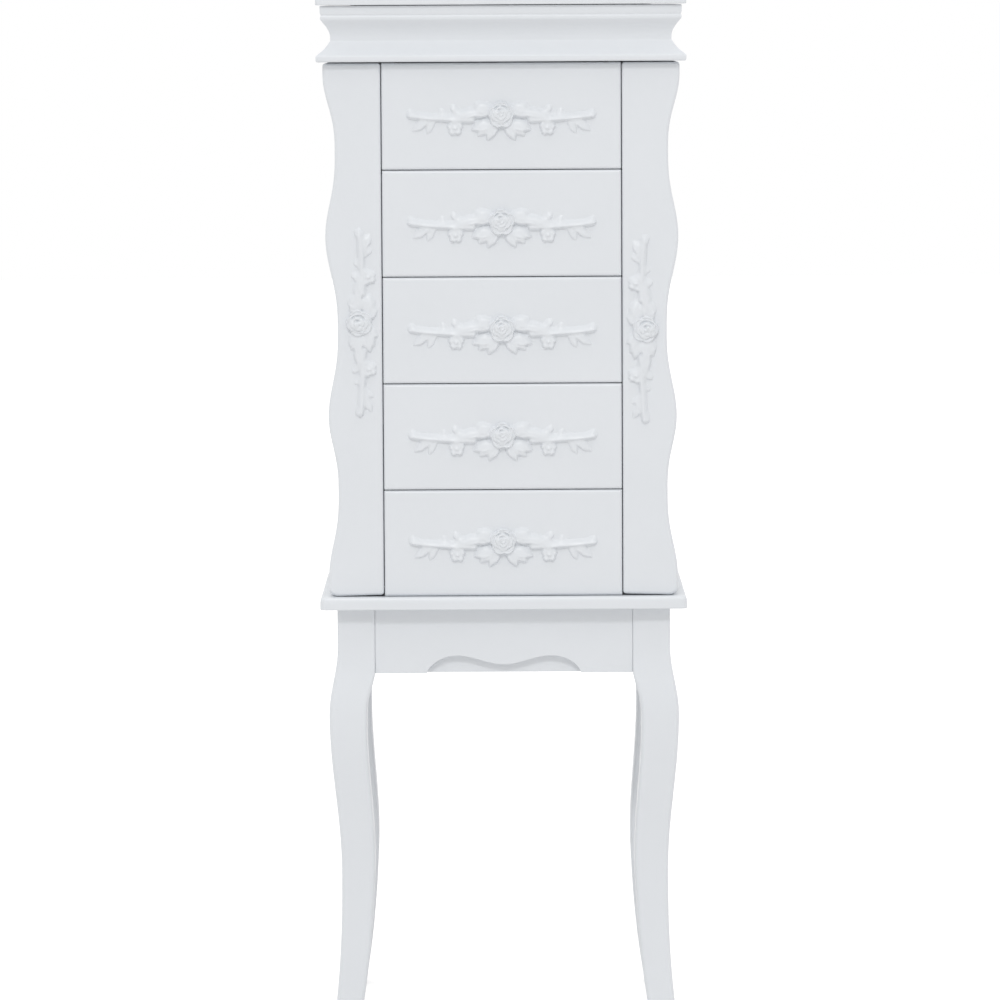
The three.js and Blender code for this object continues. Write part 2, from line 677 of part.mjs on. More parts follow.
// The carving lies in the XZ plane and stands out to -Y. Each part is a closed lump whose flat
// base is on the board, and the lumps run into each other as in one casting.
const onCarving = (u, v, w) => new THREE.Vector3(u, -w, v);

// A leaf with a raised midrib, along a bent line from root to tip.
function leaf({ root, via, tip, width, height }) {
  const line = new THREE.QuadraticBezierCurve(
    new THREE.Vector2(...root), new THREE.Vector2(...via), new THREE.Vector2(...tip));
  const stations = [0, 0.3, 0.7, 1];
  const rings = stations.map((t) => {
    const centre = line.getPoint(t);
    const along = line.getTangent(t);
    const swell = Math.sin(Math.PI * (0.18 + 0.78 * t)) ** 0.8;
    const half = (width / 2) * Math.max(0.16, swell);
    const rib = height * (1 - 0.7 * t * t);
    return [
      onCarving(centre.x - along.y * half, centre.y + along.x * half, 0),
      onCarving(centre.x, centre.y, rib),
      onCarving(centre.x + along.y * half, centre.y - along.x * half, 0),
    ];
  });
  const across = line.getTangent(0);
  return loft(rings, (v) => new THREE.Vector2(v.x * -across.y + v.z * across.x, -v.y));
}

// A round bloom: its petal edges ripple, and its tiers turn as they climb to the heart.
function bloom({ x, z, radius, height, petals, sides, tiers }) {
  const rings = tiers.map(([share, level], tier) => Array.from({ length: sides }, (_, i) => {
    const angle = (2 * Math.PI * i) / sides;
    const ripple = 1 + 0.07 * Math.cos(petals * angle + tier);
    return onCarving(
      x + radius * share * ripple * Math.cos(angle),
      z + radius * share * ripple * Math.sin(angle),
      height * level,
    );
  }));
  return loft(rings, (v) => new THREE.Vector2(v.x, v.z));
}

// Leaves of one half of the carving, as [root, via, tip, width, height], drawn for a carving that
// reaches DRAWN_HALF_LENGTH from its middle.
const DRAWN_HALF_LENGTH = 88;
const HALF_LEAVES = [
  [[4, 8], [14, 12], [23, 18], 12, 5.5], // up beside the rose
  [[8, 2], [22, 9], [36, 6], 12, 5], // towards the blossom
  [[5, -8], [20, -11], [33, -16], 13, 5], // down and out
  [[2, -8], [8, -16], [13, -22], 12, 5], // down beside the notch
  [[45, -4], [45, 8], [49, 17], 8, 4], // upright over the blossom
  [[43, -8], [46, -14], [55, -16], 8, 4], // under the blossom
  [[9, -3], [50, 1], [88, -1], 9, 4], // stem
  [[76, 0], [80, 6], [86, 10], 7, 3.5], // end fan, horn
  [[76, 0], [78, -6], [79, -12], 8, 3.5], // end fan, lobe
];
const BLOSSOM_AT = [45.5, -7];

function roseCarving() {
  const unit = CARVING_HALF_LENGTH / DRAWN_HALF_LENGTH;
  const place = (sign, [u, v]) => [sign * u * unit, v * unit];
  const side = (sign) => [
    ...HALF_LEAVES.map(([root, via, tip, width, height]) => leaf({
      root: place(sign, root),
      via: place(sign, via),
      tip: place(sign, tip),
      width: width * unit,
      height: height * unit,
    })),
    bloom({
      x: place(sign, BLOSSOM_AT)[0],
      z: place(sign, BLOSSOM_AT)[1],
      radius: BLOSSOM_RADIUS,
      height: BLOSSOM_HEIGHT,
      petals: 4,
      sides: 8,
      tiers: [[1, 0], [0.75, 0.8], [0.3, 1]],
    }),
  ];
  const rose = bloom({
    x: 0,
    z: 0,
    radius: ROSE_RADIUS,
    height: ROSE_HEIGHT,
    petals: ROSE_PETALS,
    sides: 2 * ROSE_PETALS,
    tiers: [[1, 0], [0.92, 0.6], [0.68, 0.9], [0.52, 0.68], [0.25, 1]],
  });
  return join([rose, ...side(-1), ...side(1)]);
}

const carving = roseCarving();

// ---- Drawers -----------------------------------------------------------------------------

const boxHalfWidth = sideInnerX - DRAWER_SIDE_CLEARANCE;
const grooveX = sideInnerX - RUNNER_WIDTH - RUNNER_CLEARANCE;
const boxRearY = backPanelY - DRAWER_REAR_CLEARANCE;

// Open-topped box with a groove along each side; the front board closes its front.
function drawerBox(z) {
  const bottom = z + DRAWER_BOX_DROP;
  const top = bottom + DRAWER_BOX_HEIGHT;
  const y0 = frontBackY + GLUE;
  const outer = board(-boxHalfWidth, boxHalfWidth, y0, boxRearY, bottom, top);
  const inside = board(-boxHalfWidth + DRAWER_WALL, boxHalfWidth - DRAWER_WALL,
    y0 - PAST, boxRearY - DRAWER_WALL, bottom + DRAWER_BOTTOM, top + PAST);
  const groove = board(grooveX, boxHalfWidth + PAST, y0 - PAST, boxRearY + PAST,
    z + RUNNER_DROP - RUNNER_CLEARANCE, z + RUNNER_DROP + RUNNER_HEIGHT + RUNNER_RIDE);
  return cut(outer, [inside, groove, mirrored(groove)]);
}

for (let i = 0; i < DRAWER_COUNT; i += 1) {
  const z = frontBottomAt(DRAWER_COUNT - 1 - i);
  const name = `drawer_${i + 1}`;
  const front = board(-frontHalfWidth, frontHalfWidth, frontY, frontBackY, z, z + FRONT_HEIGHT);
  const pull = add(`${name}_carving`, carving.clone(), whitePaint());
  pull.position.set(0, frontY - GLUE, z + FRONT_HEIGHT / 2);
  add(`${name}_front`, front, whitePaint());
  add(`${name}_box`, drawerBox(z), bareWood());
}

// ---- Side doors --------------------------------------------------------------------------

// Half-width of the serpentine edge at a height above the door's foot.
function serpentineAt(height) {
  const stations = SERPENTINE.map(([share, setback]) => [share * doorHeight, HALF_WIDTH - setback]);
  if (height <= stations[0][0]) return stations[0][1];
  const next = stations.findIndex(([h]) => h > height);
  if (next < 0) return stations[stations.length - 1][1];
  const [h0, x0] = stations[next - 1];
  const [h1, x1] = stations[next];
  const [waist, swell] = [Math.min(x0, x1), Math.max(x0, x1)];
  const toSwell = x1 > x0 ? (height - h0) / (h1 - h0) : (h1 - height) / (h1 - h0);
  return mix(waist, swell, ease(toSwell) ** DOOR_WAIST_BREADTH);
}

// Heights at which the serpentine edge has a facet, from foot to top.
function serpentineHeights() {
  const stations = SERPENTINE.map(([share]) => share * doorHeight);
  const between = stations.slice(0, -1).flatMap((h, i) => Array.from(
    { length: SERPENTINE_STEPS }, (_, step) => mix(h, stations[i + 1], step / SERPENTINE_STEPS)));
  return [...between, stations[stations.length - 1]];
}

// The edge as [x, z] points from the door's foot to its top, drawn in by inset.
function serpentineEdge(inset) {
  const cornerRun = (fromEnd, radius) => {
    if (fromEnd >= radius) return 0;
    return radius - Math.sqrt(radius ** 2 - (radius - fromEnd) ** 2);
  };
  const corner = [0, 0.08, 0.35, 1];
  const heights = [
    ...corner.map((t) => t * DOOR_FOOT_CORNER),
    ...serpentineHeights(),
    ...corner.map((t) => doorHeight - t * DOOR_HEAD_CORNER).reverse(),
  ];
  return heights.map((h) => {
    const run = cornerRun(h, DOOR_FOOT_CORNER) + cornerRun(doorHeight - h, DOOR_HEAD_CORNER);
    return [serpentineAt(h) - run - inset, frontsBottom + h];
  });
}

function doorPlank(inset, y0, y1) {
  return plank([[doorInnerX, frontsBottom], ...serpentineEdge(inset), [doorInnerX, frontsTop]], y0, y1);
}

// Relief round a hinge barrel, cut into the rear board and the skin.
function barrelRelief(z) {
  const half = DOOR_HINGE.length / 2 + SEAT;
  const room = DOOR_HINGE.barrel + HINGE_RECESS;
  return board(doorPinX - room, HALF_WIDTH + PAST, pinY - room, REAR_Y + PAST, z - half, z + half);
}

const leafPockets = doorHingeHeights.flatMap((z) => [
  doorMortise(z, pinY - leafReach - GLUE, REAR_Y + PAST),
  barrelRelief(z),
]);

const doorFrameY = frontBackY + GLUE;
const rearBoardY = doorBackY - DOOR_BOARD;

// Rear board with the top and bottom boards glued to it.
function doorFrame() {
  const inner = doorPlank(DOOR_SKIN + GLUE, doorFrameY, rearBoardY + 1);
  const hollow = board(doorInnerX - PAST, HALF_WIDTH + PAST, doorFrameY - PAST, rearBoardY,
    frontsBottom + DOOR_CROSS_BOARD, frontsTop - DOOR_CROSS_BOARD);
  const crossBoards = cut(inner, [hollow]);
  return cut(join([doorPlank(0, rearBoardY, doorBackY), crossBoards]), leafPockets);
}

// Bent plywood side that follows the serpentine edge.
function doorSkin() {
  const outline = [...serpentineEdge(0), ...serpentineEdge(DOOR_SKIN).reverse()];
  return cut(plank(outline, doorFrameY, rearBoardY - GLUE), leafPockets);
}

addPair('door_front', doorPlank(0, frontY, frontBackY), whitePaint);
addPair('door_frame', doorFrame(), whitePaint);
addPair('door_skin', doorSkin(), whitePaint);

// Brass rail under the door's top board, with hooks that open towards the cabinet.
function hookRail() {
  const top = frontsTop - DOOR_CROSS_BOARD - GLUE;
  const x = (doorInnerX + doorPinX) / 2;
  const middleY = (doorFrameY + rearBoardY) / 2;
  const strip = board(x - RAIL_WIDTH / 2, x + RAIL_WIDTH / 2,
    middleY - RAIL_LENGTH / 2, middleY + RAIL_LENGTH / 2, top - RAIL_THICKNESS, top);
  const pitch = RAIL_LENGTH / HOOK_COUNT;
  const hooks = Array.from({ length: HOOK_COUNT }, (_, i) => {
    const y = middleY - RAIL_LENGTH / 2 + pitch * (i + 0.5);
    const half = HOOK_WIRE / 2;
    const foot = top - RAIL_THICKNESS - HOOK_DROP;
    return [
      board(x - half, x + half, y - half, y + half, foot, top - RAIL_THICKNESS / 2),
      board(x - HOOK_REACH, x + half, y - half, y + half, foot, foot + HOOK_WIRE),
      board(x - HOOK_REACH, x - HOOK_REACH + HOOK_WIRE, y - half, y + half, foot, foot + HOOK_LIP),
    ];
  });
  return join([strip, ...hooks.flat()]);
}

addPair('hook_rail', hookRail(), brass);

// A door carries the same casting as the drawers, on end.
function addDoorCarving(name, side, share) {
  const mesh = add(name, carving.clone(), whitePaint());
  mesh.rotation.y = (side * Math.PI) / 2;
  mesh.position.set(
    side * (HALF_WIDTH - DOOR_CARVING_SETBACK), frontY - SEAT, frontsBottom + share * doorHeight);
}

addDoorCarving('door_carving_right', 1, DOOR_CARVING_RIGHT_SHARE);
addDoorCarving('door_carving_left', -1, DOOR_CARVING_LEFT_SHARE);

export default cabinet;
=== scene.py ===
"""The looks of the flip-top jewelry armoire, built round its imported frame.

Sizes are in millimetres until a mesh is made. The front faces -Y, and +X is to the right seen
from the front. Colours, lamps and the camera are in Blender's own units.
"""

import json
import math
from contextlib import contextmanager

import bmesh
import bpy
import numpy as np
from mathutils import Matrix, Vector

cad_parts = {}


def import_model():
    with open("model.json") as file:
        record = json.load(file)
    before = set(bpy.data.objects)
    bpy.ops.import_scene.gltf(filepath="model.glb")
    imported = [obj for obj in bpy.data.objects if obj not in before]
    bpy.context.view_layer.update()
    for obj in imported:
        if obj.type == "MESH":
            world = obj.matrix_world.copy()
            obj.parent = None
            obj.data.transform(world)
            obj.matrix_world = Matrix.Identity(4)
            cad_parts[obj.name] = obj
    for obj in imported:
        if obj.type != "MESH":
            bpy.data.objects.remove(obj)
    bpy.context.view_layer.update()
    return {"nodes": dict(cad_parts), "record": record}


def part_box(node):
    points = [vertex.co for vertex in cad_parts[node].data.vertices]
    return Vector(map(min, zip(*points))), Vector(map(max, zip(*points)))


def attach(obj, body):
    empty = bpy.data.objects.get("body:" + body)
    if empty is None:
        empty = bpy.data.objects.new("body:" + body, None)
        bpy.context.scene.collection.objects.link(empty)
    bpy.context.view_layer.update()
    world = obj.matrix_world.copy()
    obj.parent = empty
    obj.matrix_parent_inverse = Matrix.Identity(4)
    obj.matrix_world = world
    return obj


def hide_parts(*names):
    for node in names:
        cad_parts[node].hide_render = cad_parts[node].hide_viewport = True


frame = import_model()
scene = bpy.context.scene
MM = 0.001

# ---- Sizes shared with the frame, in millimetres ----

HALF_WIDTH = 176.0
LIP_Y = -125.0
REAR_Y = 119.5
PLATE_BOTTOM = 401.5
PLATE_TOP = 413.5
FRONTS_BOTTOM = 414.5
FRONT_HEIGHT = 101.0
FRONTS_TOP = 923.5
CROWN_BOTTOM = 924.7
CROWN_TOP = 978.0
LID_BOTTOM = 978.6
LID_TOP = 997.6
FRONT_Y = -115.0
FRONT_BACK_Y = -103.0
DOOR_INNER_X = 114.95
DOOR_REAR_Y = 99.5
DOOR_HEIGHT = FRONTS_TOP - FRONTS_BOTTOM
DOOR_PIN = (160.0, 112.25)  # x, y
LID_PIN = (122.4, 978.3)  # y, z
LID_HINGE_X = 100.0
HINGE_HEIGHTS = {
    "lower": FRONTS_BOTTOM + 0.19 * DOOR_HEIGHT,
    "upper": FRONTS_BOTTOM + 0.83 * DOOR_HEIGHT,
}
SIDES = {"left": -1, "right": 1}


def mix(a, b, t):
    return a + (b - a) * t


def ease(t):
    return (1 - math.cos(math.pi * min(1.0, max(0.0, t)))) / 2


def bend(start, middle, end, steps):
    """Points on a quadratic curve through its control polygon."""
    points = []
    for i in range(steps + 1):
        t = i / steps
        p, q, r = (1 - t) ** 2, 2 * t * (1 - t), t * t
        points.append(tuple(p * a + q * b + r * c for a, b, c in zip(start, middle, end)))
    return points


def arc(cx, cy, radius, start, count=6, turn=90):
    """Points on a circle from the angle start on, in degrees."""
    angles = [math.radians(start + turn * i / count) for i in range(count + 1)]
    return [(cx + radius * math.cos(a), cy + radius * math.sin(a)) for a in angles]


def rounded_rectangle(low, high, front, rear, count=6):
    """An outline that starts at its front right corner; front and rear are corner radii."""
    (x0, y0), (x1, y1) = low, high
    points = []
    for x, y, sx, sy, radius, start in (
        (x1, y0, 1, -1, front, -90), (x1, y1, 1, 1, rear, 0),
        (x0, y1, -1, 1, rear, 90), (x0, y0, -1, -1, front, 180),
    ):
        points += arc(x - sx * radius, y - sy * radius, radius, start, count)
    return points


def quarter(z, radius, upward, count=5):
    """[height, inset] steps of a rounded arris that starts or ends at a flat face."""
    steps = []
    for i in range(count + 1):
        a = math.radians(90 * i / count)
        if upward:
            steps.append((z - radius + radius * math.sin(a), radius * (1 - math.cos(a))))
        else:
            steps.append((z + radius * (1 - math.cos(a)), radius * (1 - math.sin(a))))
    return steps


# ---- Node materials ----


class Nodes:
    """A short way to wire a material or the world."""

    def __init__(self, owner):
        owner.use_nodes = True
        self.owner = owner
        self.tree = owner.node_tree
        self.tree.nodes.clear()

    def add(self, kind, inputs=(), **settings):
        node = self.tree.nodes.new(kind)
        for key, value in settings.items():
            setattr(node, key, value)
        for key, value in dict(inputs).items():
            socket = node.inputs[key]
            if isinstance(value, bpy.types.NodeSocket):
                self.tree.links.new(value, socket)
            else:
                socket.default_value = value
        return node

    def calc(self, operation, *values):
        return self.add("ShaderNodeMath", enumerate(values), operation=operation).outputs[0]

    def ramp(self, value, stops):
        node = self.add("ShaderNodeValToRGB", {"Fac": value})
        ramp = node.color_ramp
        while len(ramp.elements) < len(stops):
            ramp.elements.new(0.5)
        for element, (position, color) in zip(ramp.elements, stops):
            element.position = position
            element.color = (*color, 1)
        return node.outputs["Color"]

    def tint(self, value, low, high):
        return self.ramp(value, [(0.3, low), (0.7, high)])

    def spread(self, value, low, high):
        inputs = {"Value": value, "To Min": low, "To Max": high}
        return self.add("ShaderNodeMapRange", inputs).outputs["Result"]

    def place(self, scale=(1, 1, 1)):
        coordinates = self.add("ShaderNodeTexCoord").outputs["Object"]
        inputs = {"Vector": coordinates, "Scale": scale}
        return self.add("ShaderNodeMapping", inputs).outputs["Vector"]

    def noise(self, vector, scale, detail=3.0, roughness=0.5):
        inputs = {"Vector": vector, "Scale": scale, "Detail": detail, "Roughness": roughness}
        return self.add("ShaderNodeTexNoise", inputs).outputs["Fac"]

    def bump(self, height, strength, distance, normal=None):
        inputs = {"Height": height, "Strength": strength, "Distance": distance}
        if normal is not None:
            inputs["Normal"] = normal
        return self.add("ShaderNodeBump", inputs).outputs["Normal"]

    def sees_background(self):
        """1 for rays that should see the plain white background."""
        path = self.add("ShaderNodeLightPath").outputs
        direct = self.calc("MAXIMUM", path["Is Camera Ray"], path["Is Glossy Ray"])
        return self.calc("MAXIMUM", direct, path["Is Transmission Ray"])

    def finish(self, **inputs):
        named = {key.replace("_", " "): value for key, value in inputs.items()}
        shader = self.add("ShaderNodeBsdfPrincipled", named)
        self.add("ShaderNodeOutputMaterial", {"Surface": shader.outputs["BSDF"]})
        return self.owner


def new_nodes(name):
    return Nodes(bpy.data.materials.new(name))


def paint_material():
    """Satin white lacquer with a faint orange peel and the drag of the brush."""
    n = new_nodes("white_paint")
    at = n.place()
    cloud = n.noise(at, 9.0, 4.0)
    peel = n.bump(n.noise(at, 420.0, 2.0, 0.4), 0.05, 0.0004)
    drag = n.noise(n.place((60, 60, 8)), 6.0, 3.0)
    return n.finish(
        Base_Color=n.tint(cloud, (0.727, 0.752, 0.782), (0.743, 0.768, 0.798)),
        Roughness=n.spread(n.noise(at, 35.0, 3.0), 0.34, 0.46),
        Normal=n.bump(drag, 0.03, 0.0004, peel),
        Specular_IOR_Level=0.45,
        Coat_Weight=0.12,
        Coat_Roughness=0.22,
    )


def wood_material():
    """Pale lacquered plywood: fine grain along the board."""
    n = new_nodes("box_wood")
    normal = n.add("ShaderNodeNewGeometry").outputs["Normal"]
    facing = n.add("ShaderNodeSeparateXYZ", {"Vector": normal}).outputs["Y"]
    ends = n.calc("GREATER_THAN", n.calc("ABSOLUTE", facing), 0.5)
    along = {"Factor": ends, 4: n.place((240, 14, 240)), 5: n.place((14, 240, 240))}
    at = n.add("ShaderNodeMix", along, data_type="VECTOR").outputs[1]
    grain = n.noise(at, 1.0, 6.0, 0.62)
    shades = [(0.3, (0.66, 0.56, 0.43)), (0.5, (0.74, 0.65, 0.52)), (0.72, (0.79, 0.71, 0.59))]
    return n.finish(
        Base_Color=n.ramp(grain, shades),
        Roughness=n.spread(grain, 0.62, 0.48),
        Normal=n.bump(grain, 0.12, 0.0005),
        Specular_IOR_Level=0.4,
    )


def brass_material():
    """Bright brass plate with fine scratches along the rolling."""
    n = new_nodes("brass")
    scratch = n.noise(n.place((40, 900, 40)), 3.0, 4.0)
    cloud = n.noise(n.place(), 60.0, 3.0)
    return n.finish(
        Base_Color=n.tint(cloud, (0.72, 0.53, 0.25), (0.83, 0.66, 0.36)),
        Metallic=1.0,
        Roughness=n.spread(scratch, 0.2, 0.36),
        Normal=n.bump(scratch, 0.06, 0.0002),
    )


def bright_material(name, scale, low, high, smooth, rough):
    """Nickel plate or silvered glass with a faint haze."""
    n = new_nodes(name)
    haze = n.noise(n.place(), scale, 3.0)
    return n.finish(
        Base_Color=n.tint(haze, low, high),
        Metallic=1.0,
        Roughness=n.spread(haze, smooth, rough),
    )


def velvet_material():
    """Short warm-white pile that brushes lighter and darker."""
    n = new_nodes("velvet")
    at = n.place()
    brushed = n.noise(at, 28.0, 4.0, 0.6)
    pile = n.noise(at, 1900.0, 2.0, 0.7)
    return n.finish(
        Base_Color=n.tint(brushed, (0.60, 0.56, 0.51), (0.72, 0.68, 0.63)),
        Roughness=n.spread(pile, 0.82, 0.98),
        Normal=n.bump(brushed, 0.15, 0.002, n.bump(pile, 0.5, 0.0006)),
        Specular_IOR_Level=0.2,
        Sheen_Weight=0.6,
        Sheen_Roughness=0.35,
        Sheen_Tint=(0.95, 0.93, 0.9, 1),
    )


paint = paint_material()
wood = wood_material()
brass = brass_material()
nickel = bright_material("nickel", 120.0, (0.62, 0.62, 0.60), (0.72, 0.72, 0.70), 0.16, 0.3)
mirror = bright_material("mirror", 14.0, (0.88, 0.90, 0.91), (0.91, 0.93, 0.935), 0.012, 0.03)
velvet = velvet_material()
FINISH_OF = {
    "white_paint": paint, "box_wood": wood, "brass": brass, "mirror": mirror, "velvet": velvet
}
SLOT_OF = {finish: slot for slot, finish in FINISH_OF.items()}
SLOT_OF[nickel] = "brass"


# ---- Making meshes ----


def metres(point):
    return Vector([c * MM for c in point])


@contextmanager
def opened(mesh):
    """The mesh as a bmesh, written back afterwards."""
    bm = bmesh.new()
    bm.from_mesh(mesh)
    yield bm
    bm.to_mesh(mesh)
    bm.free()


def to_mesh(name, points, faces):
    """A mesh from points in millimetres, faces turned out."""
    mesh = bpy.data.meshes.new(name)
    mesh.from_pydata([tuple(float(c) * MM for c in p) for p in points], [], faces)
    with opened(mesh) as bm:
        bmesh.ops.recalc_face_normals(bm, faces=bm.faces)
    return mesh


def loose(name, mesh):
    obj = bpy.data.objects.new(name, mesh)
    scene.collection.objects.link(obj)
    return obj


def box_mesh(name, low, high):
    (x0, y0, z0), (x1, y1, z1) = low, high
    points = [(x, y, z) for z in (z0, z1) for x, y in ((x0, y0), (x1, y0), (x1, y1), (x0, y1))]
    faces = [(0, 3, 2, 1), (4, 5, 6, 7), (0, 1, 5, 4), (1, 2, 6, 5), (2, 3, 7, 6), (3, 0, 4, 7)]
    return to_mesh(name, points, faces)


def loft_mesh(name, rings, looped=False):
    """A closed skin through rings of equal count: with flat ends, or coming round again."""
    count, last = len(rings[0]), len(rings) - 1
    faces = []
    for r in range(last + looped):
        near, far = r * count, (r + 1) % len(rings) * count
        for i in range(count):
            j = (i + 1) % count
            faces.append((near + i, near + j, far + j, far + i))
    if not looped:
        faces += [tuple(range(count)), tuple(range(last * count, len(rings) * count))]
    return to_mesh(name, [p for ring in rings for p in ring], faces)


def plank_mesh(name, outline, y0, y1):
    """A flat [x, z] outline with thickness."""
    return loft_mesh(name, [[(x, y, z) for x, z in outline] for y in (y0, y1)])


def joined_mesh(name, meshes, places=()):
    """One mesh from several, each moved by its matrix where places gives any."""
    bm = bmesh.new()
    for k, mesh in enumerate(meshes):
        start = len(bm.verts)
        bm.from_mesh(mesh)
        if places:
            bm.verts.ensure_lookup_table()
            for vert in bm.verts[start:]:
                vert.co = places[k] @ vert.co
    joined = bpy.data.meshes.new(name)
    bm.to_mesh(joined)
    bm.free()
    return joined


def bake(obj):
    """Builds the object's modifiers into its mesh."""
    bpy.context.view_layer.update()
    graph = bpy.context.evaluated_depsgraph_get()
    mesh = bpy.data.meshes.new_from_object(
        obj.evaluated_get(graph), preserve_all_data_layers=True, depsgraph=graph
    )
    obj.modifiers.clear()
    old = obj.data
    obj.data = mesh
    if old.users == 0:
        bpy.data.meshes.remove(old)


def shape(obj, ease_by=0.0, steps=3, cuts=(), sharp=38.0, angle=50.0):
    """Cuts, eases the arrises and settles the shading of a new piece."""
    tools = []
    for i, mesh in enumerate(cuts):
        tool = loose(f"tool_{i}", mesh)
        tools.append(tool)
        cut = obj.modifiers.new("cut", "BOOLEAN")
        cut.operation = "DIFFERENCE"
        cut.solver = "EXACT"
        cut.object = tool
    if tools:
        bake(obj)
        for tool in tools:
            bpy.data.objects.remove(tool)
    if ease_by:
        bevel = obj.modifiers.new("ease", "BEVEL")
        bevel.width = ease_by * MM
        bevel.segments = steps
        bevel.limit_method = "ANGLE"
        bevel.angle_limit = math.radians(angle)
        bevel.use_clamp_overlap = True
        bake(obj)
    obj.data.shade_smooth()
    obj.data.set_sharp_from_angle(angle=math.radians(sharp))
    weighted = obj.modifiers.new("normals", "WEIGHTED_NORMAL")
    weighted.keep_sharp = True
    weighted.weight = 100
    weighted.mode = "FACE_AREA"
    bake(obj)
    return obj


def finish(obj, material, body, *nodes):
    """Gives a shaped piece its material, its body and the nodes it stands for."""
    obj.data.materials.clear()
    obj.data.materials.append(material)
    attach(obj, body)
    if nodes:
        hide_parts(*nodes)
    return obj


def piece(name, mesh, material, body, *nodes, **shaping):
    return finish(shape(loose(name, mesh), **shaping), material, body, *nodes)


def board(name, low, high, material, body, *nodes, **shaping):
    return piece(name, box_mesh(name, low, high), material, body, *nodes, **shaping)


def eased_node(node, material, body, ease_by=0.5):
    """A node's own shape with eased arrises."""
    mesh = frame["nodes"][node].data.copy()
    with opened(mesh) as bm:
        bmesh.ops.remove_doubles(bm, verts=bm.verts, dist=1e-6)
        flat = math.radians(1)
        bmesh.ops.dissolve_limit(bm, angle_limit=flat, verts=bm.verts, edges=bm.edges)
    piece(f"fine_{node}", mesh, material, body, node, ease_by=ease_by, steps=2)


def node_span(node):
    """A node's corners in millimetres."""
    low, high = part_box(node)
    return [c / MM for c in low], [c / MM for c in high]


# ---- Stand ----

APRON_BOTTOM = 338.4
RECESS_DEPTH = 8.0
KNEE_Z, KNEE_SETBACK, KNEE_WIDTH = 299, 7.7, 36.3
SHIN_Z, SHIN_SETBACK, SHIN_WIDTH = 145, 18.2, 32.2
FOOT_SETBACK, FOOT_WIDTH, FOOT_CURVE = 10, 25.8, 2.4
FOOT_EASE, FOOT_EASE_RISE = 1.2, 2.2
BLOCK_SETBACK, BLOCK_INNER, BLOCK_RISE = 16, 52, 25
LEG_ROUND, BLOCK_ROUND = 4.0, 2.0
ROUND_Z, ROUND_RUN = 318, 28  # where the leg's corner radius changes to the block's


def slab_mesh(name, steps, front_radius, rear_radius=1.0):
    """The plate or the lid, drawn in at the front and the sides by [height, inset] steps."""
    rings = []
    for z, inset in steps:
        x = HALF_WIDTH - inset
        plan = rounded_rectangle((-x, LIP_Y + inset), (x, REAR_Y), front_radius, rear_radius)
        rings.append([(*p, z) for p in plan])
    return loft_mesh(name, rings)


def base_plate():
    nose = bend((PLATE_TOP - 6, 0), (PLATE_TOP, 0), (PLATE_TOP, 2.6), 8)
    mesh = slab_mesh("plate", quarter(PLATE_BOTTOM, 1.0, False, 3) + nose, 5.0)
    piece("plate", mesh, paint, "cabinet", "base_plate", sharp=50)


def leg_setback(z):
    """How far a leg's outer faces stand behind the plate's edge."""
    over_knee = (z - KNEE_Z) / (APRON_BOTTOM + BLOCK_RISE - KNEE_Z)
    over_shin = (z - SHIN_Z) / (KNEE_Z - SHIN_Z)
    if over_knee >= 0:
        return mix(KNEE_SETBACK, BLOCK_SETBACK, ease(over_knee))
    if over_shin >= 0:
        return mix(SHIN_SETBACK, KNEE_SETBACK, ease(over_shin))
    return mix(SHIN_SETBACK, FOOT_SETBACK, (1 - z / SHIN_Z) ** FOOT_CURVE)


def leg_width(z):
    """Above the aprons' lower edge the inner face stays flat against their ends."""
    flush = BLOCK_INNER - leg_setback(max(z, APRON_BOTTOM))
    over_knee = (z - KNEE_Z) / (APRON_BOTTOM - KNEE_Z)
    over_shin = (z - SHIN_Z) / (KNEE_Z - SHIN_Z)
    if over_knee >= 0:
        return mix(KNEE_WIDTH, flush, ease(over_knee))
    if over_shin >= 0:
        return mix(SHIN_WIDTH, KNEE_WIDTH, over_shin)
    return mix(FOOT_WIDTH, SHIN_WIDTH, z / SHIN_Z)


def leg_ring(z):
    half = leg_width(z) / 2
    inset = leg_setback(z) + half
    cx, cy = HALF_WIDTH - inset, LIP_Y + inset
    half -= FOOT_EASE * (1 - min(1, z / FOOT_EASE_RISE)) ** 2
    radius = mix(LEG_ROUND, BLOCK_ROUND, ease((z - ROUND_Z) / ROUND_RUN))
    ring = rounded_rectangle((cx - half, cy - half), (cx + half, cy + half), radius, radius)
    return [(*p, z) for p in ring]


def legs():
    levels = [0, 0.5, 1.2, FOOT_EASE_RISE, *np.linspace(8, 366, 60), 370, PLATE_BOTTOM]
    rings = [leg_ring(z) for z in levels]
    for side, sx in SIDES.items():
        for end in ("front", "rear"):
            name = f"leg_{end}_{side}"
            placed = [
                [(sx * x, y if end == "front" else LIP_Y + REAR_Y - y, z) for x, y, z in ring]
                for ring in rings
            ]
            mesh = loft_mesh(name, placed)
            piece(f"fine_{name}", mesh, paint, "cabinet", name, sharp=60)


def scallop_outline():
    """The double bump in the front apron's lower edge."""
    span, peak_x, peak, dip = 74, 45.5, 16.6, 8.1
    half = []
    for i in range(21):
        a = math.radians(4.5 * i)
        half.append((mix(span, peak_x, 1 - math.cos(a)), peak * math.sin(a) ** 1.3))
    half += [(mix(peak_x, 0, i / 20), mix(peak, dip, ease(i / 20))) for i in range(1, 21)]
    other = [(-x, z) for x, z in reversed(half[:-1])]
    outline = [(x, APRON_BOTTOM + z) for x, z in half + other]
    return outline + [(-span, APRON_BOTTOM - 5), (span, APRON_BOTTOM - 5)]


